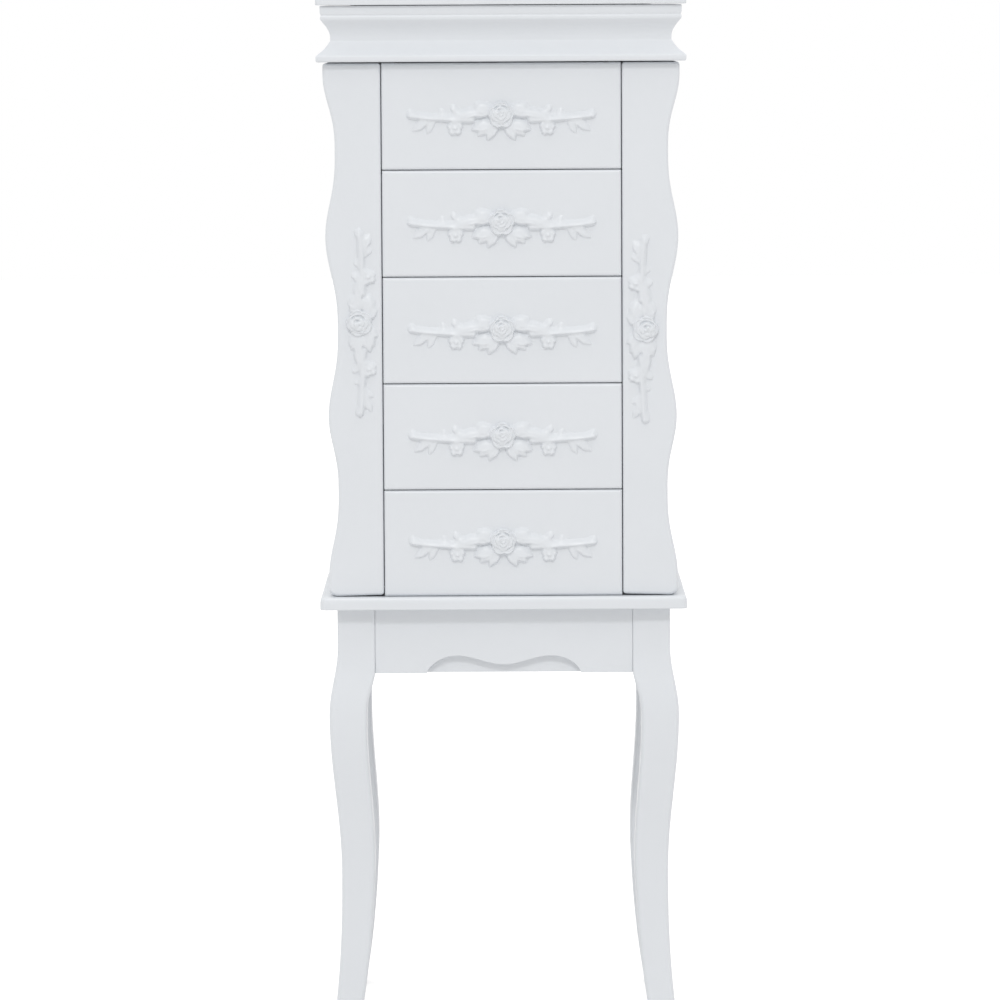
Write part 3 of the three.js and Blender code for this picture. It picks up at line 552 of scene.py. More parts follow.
def aprons():
    for place in ("front", "back", "left", "right"):
        node = f"apron_{place}"
        low, high = node_span(node)
        low[2], high[2] = APRON_BOTTOM, PLATE_BOTTOM
        cuts = []
        if place == "front":
            cuts = [plank_mesh("recess", scallop_outline(), low[1] - 5, low[1] + RECESS_DEPTH)]
        board(f"fine_{node}", low, high, paint, "cabinet", node, ease_by=0.9, cuts=cuts)


# ---- Crown ----


def crown_outline():
    """The moulding: [distance behind the lip, height above its foot]."""
    flare_foot, flare_head = (2, 7.4), (13.7, 20.4)
    cove_foot, cove_head = (13.7, 24.5), (6.3, 38.2)
    frieze, height, back = 4.2, 53.3, 27
    lip = bend((2.4, 0), (0, 0), (0, 2.4), 6) + bend((0, 4.8), (0, 6.03), flare_foot, 7)
    flare = bend(flare_foot, (9.59, 12.6), flare_head, 16)[1:]
    cove = bend(cove_foot, (13.15, 30.67), cove_head, 16)
    bead = []
    for i in range(11):
        a = math.pi * mix(-0.3, 0.2, i / 10)
        bead.append((4.41 + 4 * (1 - math.cos(a)), cove_head[1] + 4 * (0.95 + math.sin(a))))
    fillet = [(4.6, 45.6), (frieze, 46.9), (frieze, 52.5), (4.4, 53.05), (5.0, height)]
    return lip + flare + cove + bead + fillet + [(back, height), (back, 0)]


def crown():
    """The front moulding and the two side ones, mitred where they meet."""
    profile = crown_outline()

    def ring(sx, rear=False):
        return [
            (sx * (HALF_WIDTH - inset), REAR_Y if rear else LIP_Y + inset, CROWN_BOTTOM + z)
            for inset, z in profile
        ]

    runs = {"front": [ring(-1), ring(1)]}
    runs.update({side: [ring(sx), ring(sx, rear=True)] for side, sx in SIDES.items()})
    for place, rings in runs.items():
        node = f"crown_{place}"
        piece(f"fine_{node}", loft_mesh(node, rings), paint, "cabinet", node, sharp=34)


# ---- Lid and mirror ----


def lid():
    nose = bend((LID_TOP - 5, 0), (LID_TOP, 0), (LID_TOP, 5), 10)
    mesh = slab_mesh("lid", quarter(LID_BOTTOM, 1.2, False, 3) + nose, 3.0)
    mortises = [
        box_mesh(
            "mortise",
            (sx * LID_HINGE_X - 20.3, 109.1, LID_BOTTOM - 5),
            (sx * LID_HINGE_X + 20.3, 130, LID_PIN[1] + 1.45),
        )
        for sx in SIDES.values()
    ]
    piece("lid", mesh, paint, "lid", "lid_board", cuts=mortises, sharp=50)


def mirror_frame():
    low, high = node_span("mirror_frame")
    # [distance in from the edge, distance down from the face]
    profile = [(0.6, 0), (0, 0.6), (0, 3.2)]
    profile += bend((1.2, 4.4), (3.2, 6.5), (7.5, 6.5), 8)
    profile += bend((9.0, 5.6), (12.5, 5.2), (14.2, 3.6), 8)
    profile += [(14.8, 3.6), (16.6, 3.9), (17.6, 3.7), (18, 3.3), (18, 3.25), (12, 3.25), (12, 0)]
    rings = []
    for sx, sy in ((-1, -1), (1, -1), (1, 1), (-1, 1)):
        edge = low[1] if sy < 0 else high[1]
        rings.append([
            ((high[0] - inset) * sx, edge - sy * inset, high[2] - drop) for inset, drop in profile
        ])
    mesh = loft_mesh("mirror_frame", rings, looped=True)
    piece("fine_mirror_frame", mesh, paint, "lid", "mirror_frame", sharp=34)
    low, high = node_span("mirror_glass")
    board("fine_mirror_glass", low, high, mirror, "lid", "mirror_glass", ease_by=0.4)


# ---- Top compartment ----


def pad(name, low, high, body, crown_by=0.6, edge=1.6):
    """A thin velvet-covered pad: flat underneath, softly crowned, edges turned down."""
    nx, ny = 36, 28
    points, faces = [], []
    for j in range(ny + 1):
        for i in range(nx + 1):
            u, v = i / nx, j / ny
            x, y = mix(low[0], high[0], u), mix(low[1], high[1], v)
            inward = min(x - low[0], high[0] - x, y - low[1], high[1] - y)
            rounding = math.sqrt(1 - (1 - min(1, inward / edge)) ** 2)
            full = high[2] - crown_by * (1 - (4 * u * (1 - u) * 4 * v * (1 - v)) ** 0.35)
            points.append((x, y, mix(low[2] + 0.2, full, rounding)))
    row = nx + 1
    for j in range(ny):
        for a in range(j * row, j * row + nx):
            faces.append((a, a + 1, a + row + 1, a + row))
    rim = [*range(row), *(j * row + nx for j in range(1, ny + 1))]
    rim += [*range(ny * row + nx - 1, ny * row - 1, -1), *(j * row for j in range(ny - 1, 0, -1))]
    base = len(points)
    points += [(*points[k][:2], low[2]) for k in rim]
    for k, corner in enumerate(rim):
        m = (k + 1) % len(rim)
        faces.append((corner, base + k, base + m, rim[m]))
    faces.append(tuple(range(base, base + len(rim))))
    piece(name, to_mesh(name, points, faces), velvet, body, sharp=60)


def ring_rolls():
    """Foam rolls wrapped in velvet, pressed side by side."""
    low, high = node_span("ring_cushion")
    rolls, across, rounding = 9, 18, 4.0
    length, pitch = high[0] - low[0], (high[1] - low[1]) / rolls
    ends = [0, 0.35, 1.0, 2.2, rounding]
    steps = [*ends, *np.linspace(8, length - 8, 30), *(length - d for d in reversed(ends))]
    rings = []
    for step in steps:
        x = low[0] + step
        end = min(step, length - step)
        swell = math.sqrt(max(0.0, 1 - (1 - min(1, end / rounding)) ** 2))
        ring = [(x, low[1], low[2])]
        for roll in range(rolls):
            for i in range(across):
                a = math.pi * mix(0.03, 0.97, i / (across - 1))
                lift = 0.36 + 0.64 * math.sin(a) ** 0.9
                squeeze = 0.35 * math.sin(step * 0.21 + roll * 1.7)
                y = low[1] + pitch * (roll + 0.5) - pitch / 2 * math.cos(a)
                height = (high[2] - low[2] - 0.4) * lift + squeeze * math.sin(a)
                ring.append((x, y, low[2] + mix(0.5, 1, swell) * height))
        rings.append([*ring, (x, high[1], low[2])])
    mesh = loft_mesh("ring_rolls", rings)
    obj = piece("ring_rolls", mesh, velvet, "cabinet", "ring_cushion", sharp=75)


def compartment():
    ring_rolls()
    eased_node("tray_divider", paint, "cabinet", 0.8)
    left, right, bottom, top = -14.4, 148.4, 933.8, 936.0
    pad("tray_pad_front", (left, -97.4, bottom), (right, 1.8, top), "cabinet")
    pad("tray_pad_rear", (left, 7.8, bottom), (right, 106.8, top), "cabinet")


# ---- Hinges, screws and small fittings ----

SCREW_LIFT = 0.12  # of a screw's seat from the plane between the leaves


def turned_mesh(name, center, axis, stations, sides=24):
    """A turned form from [distance along the axis, radius] stations."""
    axis = Vector(axis).normalized()
    side = axis.orthogonal().normalized()
    other = axis.cross(side)
    rings = []
    for along, radius in stations:
        ring = []
        for i in range(sides):
            a = 2 * math.pi * i / sides
            p = Vector(center) + axis * along
            ring.append(tuple(p + side * (radius * math.cos(a)) + other * (radius * math.sin(a))))
        rings.append(ring)
    return loft_mesh(name, rings)


def screw_mesh(head):
    """A countersunk screw head with a cross recess, facing +Z at the origin."""
    stations = [
        (-0.9, head * 0.62), (-0.05, head * 0.97), (0.1, head * 0.99), (0.22, head * 0.9),
        (0.3, head * 0.6),
    ]
    obj = loose("screw", turned_mesh("screw", (0, 0, 0), (0, 0, 1), stations))
    arm, reach = head * 0.13, head * 0.55
    cross = [
        box_mesh("slot", (-reach, -arm, -0.35), (reach, arm, 1)),
        box_mesh("slot", (-arm, -reach, -0.35), (arm, reach, 1)),
    ]
    mesh = shape(obj, cuts=cross, sharp=35).data
    bpy.data.objects.remove(obj)
    return mesh


def set_screws(name, mesh, spots, facing, body):
    """One object of screws at the spots, all facing the same way."""
    turn = Vector((0, 0, 1)).rotation_difference(Vector(facing)).to_matrix().to_4x4()
    places = [
        Matrix.Translation(metres(spot)) @ turn @ Matrix.Rotation(0.5 + 1.3 * k, 4, "Z")
        for k, spot in enumerate(spots)
    ]
    piece(name, joined_mesh(name, [mesh] * len(spots), places), nickel, body, sharp=35)


def leaf_plate(width, y0, y1, half, clear):
    """A hinge leaf with rounded outer corners."""
    r = 2.0
    outline = [(-clear, -half), (-clear, half)]
    outline += arc(r - width, half - r, r, 90) + arc(r - width, r - half, r, 180)
    return plank_mesh("leaf", outline, y0, y1)


def hinge_meshes(length, width, barrel, pin):
    """Fixed and moving halves round a pin along Z; leaves reach to -X, the fixed one behind."""
    half, inner, gap, thick = length / 2, length / 6, 0.15, 1.2
    axis = (0, 0, 0), (0, 0, 1)
    halves = []
    for side, tongues in (
        (1, [(-half, -inner - 0.3), (inner + 0.3, half)]),
        (-1, [(-inner, inner)]),
    ):
        y0, y1 = sorted((side * gap, side * (gap + thick)))
        parts = [leaf_plate(width, y0, y1, half, barrel + 0.4)]
        for z0, z1 in tongues:
            parts.append(box_mesh("tongue", (-barrel - 1.2, y0, z0), (-0.2, y1, z1)))
            stations = [
                (z0, barrel - 0.25), (z0 + 0.25, barrel), (z1 - 0.25, barrel), (z1, barrel - 0.25),
            ]
            parts.append(turned_mesh("knuckle", *axis, stations, 28))
        if side > 0:
            heads = [(half, pin * 1.15), (half + 0.5, pin * 1.15), (half + 0.9, pin * 0.6)]
            stations = [(-along, radius) for along, radius in reversed(heads)] + heads
            parts.append(turned_mesh("pin", *axis, stations))
        halves.append(joined_mesh("hinge", parts))
    return halves


def put_hinge(kind, side, meshes, columns, pin, swinging, screw, spots):
    """A hinge on its pin; the second of its axes, columns, points to its fixed leaf."""
    stem = "lid_hinge" if kind == "lid" else f"door_hinge_{kind}"
    matrix = Matrix.Identity(4)
    for c, column in enumerate(columns):
        for r in range(3):
            matrix[r][c] = column[r]
    matrix.translation = metres(pin)
    halves = [("fixed", 1, "cabinet"), ("moving", -1, swinging)]
    for (half, _, body), mesh in zip(halves, meshes):
        mesh = mesh.copy()
        mesh.transform(matrix)
        if matrix.determinant() < 0:
            mesh.flip_normals()
        piece(
            f"{stem}_{side}_{half}", mesh, brass, body, f"{stem}_{half}_{side}",
            ease_by=0.15, steps=1, sharp=35, angle=70,
        )
    for half, sign, body in halves:
        lift = [sign * c for c in columns[1]]
        placed = [[s + SCREW_LIFT * up for s, up in zip(spot, lift)] for spot in spots]
        set_screws(f"screws_{kind}_{side}_{half}", screw, placed, [-c for c in lift], body)


def hinges():
    screw = screw_mesh(2.6)
    meshes = hinge_meshes(50, 20, 3, 1.4)
    for side, sx in SIDES.items():
        for level, z in HINGE_HEIGHTS.items():
            pin = sx * DOOR_PIN[0], DOOR_PIN[1], z
            spots = [(sx * (DOOR_PIN[0] - 12), DOOR_PIN[1], z + dz) for dz in (-18, 0, 18)]
            columns = (sx, 0, 0), (0, 1, 0), (0, 0, 1)
            put_hinge(level, side, meshes, columns, pin, f"door_{side}", screw, spots)
    meshes = hinge_meshes(40, 13, 2.6, 1.2)
    for side, sx in SIDES.items():
        pin = sx * LID_HINGE_X, *LID_PIN
        spots = [(pin[0] + dx, LID_PIN[0] - 8, LID_PIN[1]) for dx in (-14, 14)]
        columns = (0, 1, 0), (0, 0, -1), (-1, 0, 0)
        put_hinge("lid", side, meshes, columns, pin, "lid", screw, spots)


def fittings():
    """Felt bumpers under the lid and magnets that hold the doors."""
    def turned(name, center, axis, stations, material, body):
        piece(name, turned_mesh(name, center, axis, stations, 28), material, body, sharp=35)

    felt = [(0, 3.6), (0.3, 3.6), (0.42, 3.3), (0.5, 2.6)]
    disc = [(-0.4, 4), (0.25, 4), (0.35, 3.8)]
    for side, sx in SIDES.items():
        turned(f"bumper_{side}", (sx * 140, -104, CROWN_TOP), (0, 0, 1), felt, velvet, "cabinet")
        for level, z in (("lower", FRONTS_BOTTOM + 5), ("upper", FRONTS_TOP - 5)):
            for kind, x, facing, body in (
                ("plate", DOOR_INNER_X - 1, sx, "cabinet"),
                ("magnet", DOOR_INNER_X, -sx, f"door_{side}"),
            ):
                name = f"catch_{kind}_{level}_{side}"
                turned(name, (sx * x, -90, z), (facing, 0, 0), disc, nickel, body)


# ---- Cast rose carving ----

BOARD = -1.2  # height of the board round a casting, below the casting's own zero


def ramp01(value):
    value = np.clip(value, 0, 1)
    return value * value * (3 - 2 * value)


def bell(offset, width):
    return np.exp(-((offset / width) ** 2))


class Relief:
    """A casting as heights over a grid of the board."""

    def __init__(self, half_u, half_v, step):
        self.step = step
        us = np.arange(-half_u, half_u + step / 2, step)
        vs = np.arange(-half_v, half_v + step / 2, step)
        self.u, self.v = np.meshgrid(us, vs)
        self.h = np.full(self.u.shape, -3.0)

    def lay(self, height):
        """Lays a form over the others, with a soft crease where they meet."""
        k = 0.25
        top = np.maximum(self.h, height)
        gap = np.abs(self.h - height)
        self.h = top + np.where(gap < k, (k - gap) ** 2 / (4 * k), 0)

    def along(self, root, via, tip, count=64):
        """Share of the way along a bent line, distance to its left, and its length."""
        t = np.linspace(0, 1, count)[:, None]
        p0, p1, p2 = (np.array(p, float) for p in (root, via, tip))
        line = (1 - t) ** 2 * p0 + 2 * t * (1 - t) * p1 + t * t * p2
        speed = 2 * (1 - t) * (p1 - p0) + 2 * t * (p2 - p1)
        length = np.sum(np.linalg.norm(np.diff(line, axis=0), axis=1))
        best = np.full(self.u.shape, 1e9)
        which = np.zeros(self.u.shape, int)
        for i, (x, y) in enumerate(line):
            d = (self.u - x) ** 2 + (self.v - y) ** 2
            near = d < best
            best[near] = d[near]
            which[near] = i
        rate = np.linalg.norm(speed, axis=1)
        unit = speed / rate[:, None]
        du, dv = self.u - line[which, 0], self.v - line[which, 1]
        ahead = du * unit[which, 0] + dv * unit[which, 1]
        left = -du * unit[which, 1] + dv * unit[which, 0]
        share = which / (count - 1) + ahead / rate[which]
        return share, left, length

    def leaf(self, root, via, tip, width, height, lobes, twist):
        """A lobed leaf with a midrib and veins; twist tilts it to one side."""
        share, left, length = self.along(root, via, tip)
        t = np.clip(share, 0, 1)
        swell = np.sin(np.pi * np.clip(0.10 + 0.86 * t, 0, 1)) ** 0.75
        scallop = 1 - 0.16 * np.abs(np.cos(np.pi * lobes * t)) ** 3
        half = width / 2 * swell * scallop + 0.25
        s = left / half
        side = ramp01((1 - np.abs(s)) * half)
        run = 0.35 + 0.65 * np.sin(np.pi * np.clip(0.12 + 0.72 * t, 0, 1)) ** 1.1
        valley = 0.78 + 0.22 * np.abs(s) ** 1.4
        rib = 0.10 * bell(left, 0.55)
        vein = 0.055 * np.cos(2 * np.pi * (lobes * 1.5 * t - 0.9 * np.abs(s)))
        blade = height * run * (valley + rib + vein * ramp01((0.95 - np.abs(s)) * 4))
        beyond = np.maximum(np.maximum(share - 1, -share) * length, 0)
        form = (blade + twist * left) * side - 0.8 * (1 - side) - 1.6 * beyond
        self.lay(np.where(np.abs(s) > 1, -0.8 - (np.abs(s) - 1) * half * 1.5, form))

    def stem(self, root, via, tip, radius, height, taper, lean):
        """A round stem that thins towards its tip; lean makes one side the fuller."""
        share, left, length = self.along(root, via, tip)
        r = radius * (1 - taper * np.clip(share, 0, 1))
        beyond = np.maximum(np.maximum(share - 1, -share), 0) * length
        d2 = (left / r) ** 2 + (beyond / r) ** 2
        bark = 0.12 * np.sin(share * length * 1.1 + left * 1.4)
        full = (height + bark) * (1 + lean * np.clip(left / r, -1, 1))
        form = full * np.sqrt(np.clip(1 - d2, 0, 1))
        self.lay(np.where(d2 > 1, -0.3 - (d2 - 1), form))

    def petal(self, cx, cy, radius, low, high, facing, roll, squash):
        """A cupped petal: it climbs towards its outer rim, which rolls over."""
        ca, sa = math.cos(facing), math.sin(facing)
        du, dv = self.u - cx, self.v - cy
        out = du * ca + dv * sa
        across = (-du * sa + dv * ca) / squash
        rho = np.sqrt(out**2 + across**2) / radius
        climb = ramp01(out / radius * 0.5 + 0.5)
        body = low + (high - low) * climb
        rim = roll * bell(rho - 0.88, 0.10) * ramp01(out / radius + 0.6)
        dip = 0.7 * roll * bell(rho - 0.66, 0.13) * climb
        side = ramp01((1 - rho) * radius / 0.9)
        form = (body + rim - dip) * side - (1 - side)
        self.lay(np.where(rho > 1, -1.0 - (rho - 1) * radius, form))

    def bud(self, cx, cy, radius, height):
        """The rolled heart of the rose."""
        du, dv = self.u - cx, self.v - cy
        r = np.hypot(du, dv)
        turn = (r / 1.75 - np.arctan2(dv, du) / (2 * np.pi) - 0.2) % 1.0
        side = ramp01((radius - r) / 0.8)
        groove = 1.7 * bell(turn - 0.5, 0.17) * side * ramp01(r / 0.5)
        dome = height - 0.05 * r**2
        self.lay(np.where(r < radius, (dome - groove) * side - (1 - side), -1.5))

    def groove(self, cx, cy, radius, toward, reach, width, depth):
        """A curved cut round a centre, in the direction toward."""
        du, dv = self.u - cx, self.v - cy
        off = (np.arctan2(dv, du) - toward + math.pi) % (2 * math.pi) - math.pi
        fade = ramp01((reach - np.abs(off)) / 0.6)
        self.h = self.h - depth * fade * bell(np.hypot(du, dv) - radius, width)

    def blossom(self, cx, cy, radius, height, phase, petals=5):
        reach = radius * 0.52
        for i in range(petals):
            a = phase + 2 * math.pi * i / petals
            self.petal(
                cx + reach * math.cos(a), cy + reach * math.sin(a), reach,
                height * 0.42, height * 0.78, a, 0.3, 0.92,
            )
        r2 = (self.u - cx) ** 2 + (self.v - cy) ** 2
        size = (radius * 0.27) ** 2
        seeds = 0.18 * np.cos(self.u * 5) * np.cos(self.v * 5)
        heart = height * (0.55 + 0.45 * np.sqrt(np.clip(1 - r2 / size, 0, 1))) + seeds
        self.lay(np.where(r2 < size, heart, -1))

    def blurred(self, reach):
        count = math.ceil(2.5 * reach / self.step)
        taps = np.exp(-0.5 * (np.arange(-count, count + 1) * self.step / reach) ** 2)
        taps /= taps.sum()
        h = np.maximum(self.h, BOARD) - BOARD
        for axis in (0, 1):
            h = np.apply_along_axis(lambda row: np.convolve(row, taps, "same"), axis, h)
        return h + BOARD

    def soften(self, reach, up=None):
        """Rounds the forms as thick paint does.

        With up given, forms run out softly on that side and stay fuller on the other.
        """
        firm = self.blurred(reach)
        if up is None:
            self.h = firm
            return
        soft = self.blurred(reach * 2.6)
        rise = np.gradient(soft, axis=0) * up[1] + np.gradient(soft, axis=1) * up[0]
        self.h = mix(soft, firm, ramp01(0.5 + rise / self.step * 2.5))

    def mesh(self, name, floor=-0.5):
        """A closed mesh of what stands above the floor, facing -Y."""
        h = np.maximum(self.h, floor)
        rows, cols = h.shape
        high = h > floor + 1e-6
        keep = high[:-1, :-1] | high[1:, :-1] | high[:-1, 1:] | high[1:, 1:]
        index = np.arange(rows * cols).reshape(rows, cols)
        corners = [index[:-1, :-1], index[:-1, 1:], index[1:, 1:], index[1:, :-1]]
        quads = np.stack(corners, -1)[keep]
        used, flat = np.unique(quads, return_inverse=True)
        points = np.stack([self.u.ravel(), -h.ravel(), self.v.ravel()], -1)[used]
        mesh = bpy.data.meshes.new(name)
        mesh.from_pydata((points * MM).tolist(), [], flat.reshape(-1, 4).tolist())
        with opened(mesh) as bm:
            rim = [e for e in bm.edges if e.is_boundary]
            bmesh.ops.triangle_fill(bm, use_beauty=True, use_dissolve=False, edges=rim)
            bmesh.ops.recalc_face_normals(bm, faces=bm.faces)
            if bm.calc_volume(signed=True) < 0:
                bmesh.ops.reverse_faces(bm, faces=bm.faces)
        mesh.shade_smooth()
        mesh.set_sharp_from_angle(angle=math.radians(75))
        return mesh


# Each leaf of one half: its root, bend and tip, width, height, lobes and twist.
LEAVES = [
    ((53, 0), (56, 4), (59, 8), 6, 2.0, 2, 0),
    ((78, -1), (86, 0), (88, 7), 8, 3.4, 2, 0),
    ((69, 0), (74, -7), (85, -14), 10, 2.8, 2, -0.12),
    ((64, -1), (67, -9), (71, -17), 8, 2.2, 2, 0),
    ((40, 0), (44, 6), (48, 11), 8, 2.6, 2, 0),
    ((26, 2), (30, 5), (33, 8), 7, 2.4, 2, 0),
    ((9, 2), (26, 5), (47, -1), 10, 5.4, 2, -0.16),
    ((8, -6), (18, -9), (28, -13), 11, 4.6, 1, -0.14),
    ((8, -7), (17, -12), (22, -19), 10, 4.0, 1, -0.1),
    ((8, 5), (16, 6), (25, 12), 13, 4.8, 2, -0.1),
    ((3, -8), (10, -14), (13, -23), 10, 4.4, 1, 0),
]
# Each ring of petals: how many, reach, petal radius, low, high, first angle, squash.
PETAL_RINGS = [
    (5, 6.6, 6.6, 2.8, 5.4, 0.35, 1.14),
    (5, 4.8, 5.4, 4.0, 6.8, 1.0, 1.1),
    (4, 3.3, 4.1, 5.4, 8.0, 0.2, 1.1),
    (3, 1.9, 2.9, 6.8, 8.8, 0.9, 1.05),
]


def rose_relief(name, spread, up):
    """A rose between leaves and blossoms; spread draws the leaves in towards the stem."""
    relief = Relief(93, 27, 0.38)
    for s in (-1, 1):
        def line(*points, s=s):
            return [(s * u, v * spread) for u, v in points]

        relief.stem(*line((28, -3), (56, -2.5), (87, 1)), 3.7, 4.2, 0.15, -0.4 * s)
        for root, via, tip, width, height, lobes, twist in LEAVES:
            relief.leaf(*line(root, via, tip), width, height, lobes, twist * s)
        relief.blossom(s * 44, -11 * spread, 7.8, 5.6, 0.3 if s > 0 else 2.84)
    relief.soften(0.75, up)
    for count, reach, radius, low, high, phase, squash in PETAL_RINGS:
        inward = 1 - reach / PETAL_RINGS[0][1]
        cx, cy = -1.2 * inward, 1 + 3.4 * inward
        for i in range(count):
            a = phase + 2 * math.pi * i / count
            relief.petal(
                cx + reach * math.cos(a), cy + reach * math.sin(a), radius,
                low + 0.12 * i, high + 0.08 * i, a, 1.0, squash,
            )
    relief.bud(-1.1, 4.0, 2.4, 9.2)
    upward = math.atan2(up[1], up[0])
    relief.groove(-0.6, 3.2, 3.0, upward + 0.2, 1.5, 0.75, 2.2)
    relief.groove(-0.4, 2.4, 7.4, upward, 1.25, 0.85, 2.4)
    relief.groove(0.2, 1.6, 8.6, upward + math.pi, 1.1, 0.7, 1.2)
    relief.soften(0.42)
    return relief.mesh(name)


def put_carving(name, mesh, spot, turn, body):
    obj = loose(f"fine_{name}", mesh)
    obj.matrix_world = Matrix.Translation(metres(spot)) @ Matrix.Rotation(turn, 4, "Y")
    finish(obj, paint, body, name)


# ---- Drawers ----

FRONT_ARRIS = 3.0
FRONT_GROWTH = 0.15  # the paint that narrows the gaps between the fronts
FRONT_CORNER = 0.9  # of a drawer front's outline
LAST_FRONT_DROP = 0.55


def front_mesh(low, high):
    """A drawer front: its front arris rolls over, and its outline keeps crisp corners."""
    rings = []
    for y, inset in quarter(low[1], FRONT_ARRIS, False) + quarter(high[1], FRONT_CORNER, True):
        near, far = (low[0] + inset, low[2] + inset), (high[0] - inset, high[2] - inset)
        outline = rounded_rectangle(near, far, FRONT_CORNER, FRONT_CORNER, 4)
        rings.append([(x, y, z) for x, z in outline])
    return loft_mesh("drawer_front", rings)


def drawers():
    carving = rose_relief("drawer_rose", 1.0, (0, 1))
    for i in range(1, 6):
        body = f"drawer_{i}"
        low, high = node_span(f"{body}_front")
        z = low[2]
        for axis in (0, 2):
            low[axis] -= FRONT_GROWTH
            high[axis] += FRONT_GROWTH
        if i == 5:
            low[2] -= LAST_FRONT_DROP
        piece(f"fine_{body}_front", front_mesh(low, high), paint, body, f"{body}_front")
        eased_node(f"{body}_box", wood, body)
        pad(f"{body}_liner", (-91.2, -102.6, z + 14.0), (91.2, 85.6, z + 15.8), body, 0.4)
        put_carving(f"{body}_carving", carving, (0, FRONT_Y, z + FRONT_HEIGHT / 2), 0, body)


# ---- Doors ----

# Where the doors' edge swells and draws in: [share of the height, distance behind the lip].
SERPENTINE = [
    (0.036, 8.5), (0.196, 18.2), (0.338, 9.3), (0.5, 18.7), (0.676, 7.6), (0.836, 17.2),
    (0.978, 6.1),
]
DOOR_LIFT = 0.8
SKIN_THICKNESS = 3.0
REAR_THICKNESS = 12.0
BOARD_DEPTH = 10
RAIL_DROP = 12.6  # from the doors' top
HOOKS, HOOK_PITCH = 6, 30
CARVING_X = 135.5
CARVING_SHARE = {"left": 0.515, "right": 0.5}


def serpentine_at(height):
    stations = [(share * DOOR_HEIGHT, HALF_WIDTH - back) for share, back in SERPENTINE]
    if height <= stations[0][0]:
        return stations[0][1]
    for (h0, x0), (h1, x1) in zip(stations, stations[1:]):
        if height < h1:
            toward = (height - h0) / (h1 - h0) if x1 > x0 else (h1 - height) / (h1 - h0)
            return mix(min(x0, x1), max(x0, x1), ease(toward) ** 1.5)
    return stations[-1][1]


def corner_run(from_end, radius):
    """How far a rounded corner draws the edge in, at a height from its end."""
    if from_end >= radius:
        return 0.0
    return radius - math.sqrt(radius**2 - (radius - from_end) ** 2)


def serpentine_edge(inset=0.0, step=4.0):
    """A door's outer edge from foot to head, [x, z]."""
    foot, head = 7.5, 3.0
    bow = [1 - math.cos(math.radians(15 * i)) for i in range(6)]
    heights = [foot * t for t in bow]
    heights += list(np.linspace(foot, DOOR_HEIGHT - head, int(DOOR_HEIGHT / step)))
    heights += [DOOR_HEIGHT - head * t for t in reversed(bow)]
    edge = []
    for h in heights:
        run = corner_run(h, foot) + corner_run(DOOR_HEIGHT - h, head)
        edge.append((serpentine_at(h) - run - inset, FRONTS_BOTTOM + h))
    return edge


def door_outline(sx, growth=0.0, lift=0.0):
    """A door's outline, [x, z]; lift slopes its lower edge up towards the drawers."""
    middle, half = (FRONTS_BOTTOM + FRONTS_TOP) / 2, DOOR_HEIGHT / 2
    edge = [(x, z + growth * (z - middle) / half) for x, z in serpentine_edge()]
    foot_x, foot_z = edge[0]
    inner = DOOR_INNER_X - growth
    outline = [(inner, foot_z + lift), (foot_x, foot_z - lift / 2), *edge[1:], (inner, edge[-1][1])]
    return [(sx * x, z) for x, z in outline]


def hook_mesh(x, y, top, sx, wire=1.1, sides=12):
    """A bent-wire hook that opens towards the cabinet."""
    drop, reach, lip, r = 12.0, 9.0, 5.0, 1.6
    line = [(0, 0), *arc(-r, r - drop, r, 0, turn=-90)]
    line += [*arc(2 * r - reach, r - drop, r, -90, turn=-90), (r - reach, lip - drop)]
    points = [Vector((x + sx * out, y, top + up)) for out, up in line]
    side = Vector((0, 1, 0))
    rings = []
    for i, point in enumerate(points):
        ends = points[max(0, i - 1)], points[min(len(points) - 1, i + 1)]
        other = (ends[1] - ends[0]).normalized().cross(side).normalized()
        radius = wire * (0.8 if i in (0, len(points) - 1) else 1)
        angles = [2 * math.pi * k / sides for k in range(sides)]
        rings.append([
            tuple(point + side * (radius * math.cos(a)) + other * (radius * math.sin(a)))
            for a in angles
        ])
    return loft_mesh("wire", rings)


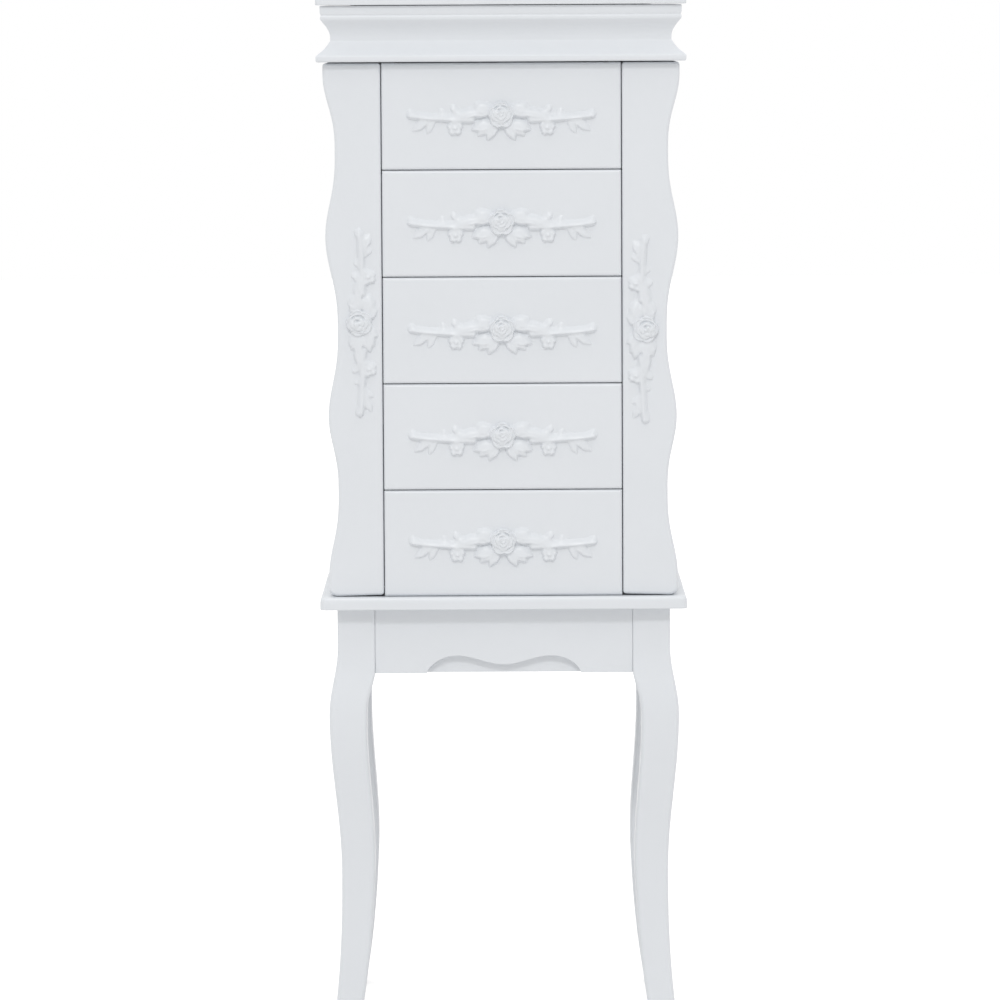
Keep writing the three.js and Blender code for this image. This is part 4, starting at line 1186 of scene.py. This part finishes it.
def door_boards(side, sx, body):
    """The front board, the bent side and the boards behind them."""
    def plank(name, outline, y0, y1, node, **shaping):
        mesh = plank_mesh(name, outline, y0, y1)
        piece(f"fine_{name}_{side}", mesh, paint, body, f"{node}_{side}", **shaping)

    front = door_outline(sx, FRONT_GROWTH, DOOR_LIFT)
    back_y = FRONT_BACK_Y + FRONT_ARRIS
    plank("door_front", front, FRONT_Y, back_y, "door_front", ease_by=FRONT_ARRIS, steps=5)
    skin = [*serpentine_edge(), *reversed(serpentine_edge(SKIN_THICKNESS))]
    skin = [(sx * x, z) for x, z in skin]
    plank("door_skin", skin, FRONT_BACK_Y, DOOR_REAR_Y, "door_skin")
    cuts, half, beyond_x, beyond_y = [], 25.3, 181, 130
    for z in HINGE_HEIGHTS.values():
        for name, inner, y in (("leaf", 139.7, 110.8), ("barrel", 156.4, 108.65)):
            x0, x1 = sorted((sx * inner, sx * beyond_x))
            cuts.append(box_mesh(name, (x0, y, z - half), (x1, beyond_y, z + half)))
    rear = door_outline(sx)
    rear_y = DOOR_REAR_Y + REAR_THICKNESS
    plank("door_rear", rear, DOOR_REAR_Y, rear_y, "door_frame", ease_by=0.7, steps=2, cuts=cuts)
    for level, z0, z1 in (
        ("bottom", FRONTS_BOTTOM + 0.15, FRONTS_BOTTOM + BOARD_DEPTH),
        ("top", FRONTS_TOP - BOARD_DEPTH, FRONTS_TOP - 0.15),
    ):
        far = serpentine_at(z0 + 5 - FRONTS_BOTTOM) - SKIN_THICKNESS - 0.2
        x0, x1 = sorted((sx * DOOR_INNER_X, sx * far))
        low, high = (x0, FRONT_BACK_Y, z0), (x1, DOOR_REAR_Y, z1)
        board(f"door_{level}_board_{side}", low, high, paint, body, ease_by=0.5, steps=2)


def necklace_rail(side, sx, body, screw):
    """A brass strip of hooks, screwed up under the door's top board."""
    x, z = sx * (DOOR_INNER_X + DOOR_PIN[0]) / 2, FRONTS_TOP - RAIL_DROP
    low, high = node_span(f"hook_rail_{side}")
    parts = [box_mesh("strip", (x - 4.5, low[1], z), (x + 4.5, high[1], z + 2.5))]
    parts += [hook_mesh(x, low[1] + HOOK_PITCH * (k + 0.5), z + 1.1, sx) for k in range(HOOKS)]
    piece(
        f"fine_hook_rail_{side}", joined_mesh("rail", parts), brass, body, f"hook_rail_{side}",
        ease_by=0.3, steps=2, sharp=35, angle=70,
    )
    spots = [(x, low[1] + d, z - 0.1) for d in (4, 90, 176)]
    set_screws(f"rail_screws_{side}", screw, spots, (0, 0, -1), body)


def doors():
    screw = screw_mesh(2.2)
    for side, sx in SIDES.items():
        body = f"door_{side}"
        door_boards(side, sx, body)
        necklace_rail(side, sx, body, screw)
        carving = rose_relief(f"door_rose_{side}", 0.72, (-sx, 0))
        spot = sx * CARVING_X, FRONT_Y, FRONTS_BOTTOM + CARVING_SHARE[side] * DOOR_HEIGHT
        put_carving(f"door_carving_{side}", carving, spot, sx * math.pi / 2, body)


# ---- Stage ----

FLOOR_HALF = 14.0
FLOOR_GLOW = 0.4
WORLD_LOW, WORLD_HIGH = 0.42, 1.26  # the world's light from below and from above
KEY_AT, KEY_AIM = (-0.4, -5.2, 4.87), (0, 0, 0.6)
KEY_SIZE, KEY_WATTS = (1.3, 0.85), 92.0
CAMERA_LENS = 196.5
CAMERA_SHIFT = 0.0724
CAMERA_PITCH = 6.0
CAMERA_ROLL = -0.3
CAMERA_AT = (-0.0034, -5.325, 0.984)


def floor():
    mesh = bpy.data.meshes.new("floor")
    half = FLOOR_HALF
    corners = [(-half, -half, 0), (half, -half, 0), (half, half, 0), (-half, half, 0)]
    mesh.from_pydata(corners, [], [(0, 1, 2, 3)])
    obj = loose("floor", mesh)
    n = new_nodes("floor_white")
    tone = n.tint(n.noise(n.place(), 2.0, 2.0), (0.805, 0.795, 0.787), (0.815, 0.805, 0.797))
    plain = n.add("ShaderNodeBsdfDiffuse", {"Color": tone}).outputs[0]
    glow = n.add("ShaderNodeEmission", {"Color": (1, 1, 1, 1), "Strength": FLOOR_GLOW}).outputs[0]
    lit = n.add("ShaderNodeAddShader", {0: plain, 1: glow}).outputs[0]
    seen = {"Fac": n.sees_background(), 1: plain, 2: lit}
    surface = n.add("ShaderNodeMixShader", seen).outputs[0]
    n.add("ShaderNodeOutputMaterial", {"Surface": surface})
    mesh.materials.append(n.owner)


def world():
    """Soft light that grows with height, and plain white where it is seen."""
    scene.world = bpy.data.worlds.new("studio")
    n = Nodes(scene.world)
    toward = n.add("ShaderNodeTexCoord").outputs["Generated"]
    height = n.add("ShaderNodeSeparateXYZ", {"Vector": toward}).outputs["Z"]
    light = n.spread(height, WORLD_LOW, WORLD_HIGH)
    seen = {"Factor": n.sees_background(), "A": light, "B": 1.0}
    strength = n.add("ShaderNodeMix", seen).outputs["Result"]
    sky = n.add("ShaderNodeBackground", {"Color": (1, 1, 1, 1), "Strength": strength})
    n.add("ShaderNodeOutputWorld", {"Surface": sky.outputs[0]})


def key_lamp():
    lamp = bpy.data.lights.new("key", "AREA")
    lamp.shape = "RECTANGLE"
    lamp.size, lamp.size_y = KEY_SIZE
    lamp.energy = KEY_WATTS
    obj = loose("key", lamp)
    obj.location = KEY_AT
    obj.rotation_euler = (Vector(KEY_AIM) - Vector(KEY_AT)).to_track_quat("-Z", "Y").to_euler()


def camera():
    data = bpy.data.cameras.new("camera")
    data.sensor_width = 36.0
    data.lens = CAMERA_LENS
    data.shift_y = CAMERA_SHIFT
    obj = loose("camera", data)
    obj.location = CAMERA_AT
    pitch = Matrix.Rotation(math.radians(90 - CAMERA_PITCH), 3, "X")
    roll = Matrix.Rotation(math.radians(CAMERA_ROLL), 3, "Z")
    obj.rotation_euler = (pitch @ roll).to_euler()
    scene.camera = obj


# ---- The whole ----

base_plate()
legs()
aprons()
crown()
lid()
mirror_frame()
compartment()
hinges()
fittings()
drawers()
doors()
for node in ("side_panel_left", "side_panel_right", "back_panel", "top_board", "crown_back"):
    eased_node(node, paint, "cabinet")

# The frame's own nodes, hidden behind the pieces, carry their finishes too.
for row in frame["record"]["subparts"]:
    obj = frame["nodes"][row["node"]]
    material = FINISH_OF[row["material_slot"]]
    if not obj.material_slots:
        obj.data.materials.append(material)
    for slot in obj.material_slots:
        slot.material = material

floor()
world()
key_lamp()
camera()
scene.view_settings.view_transform = "Standard"
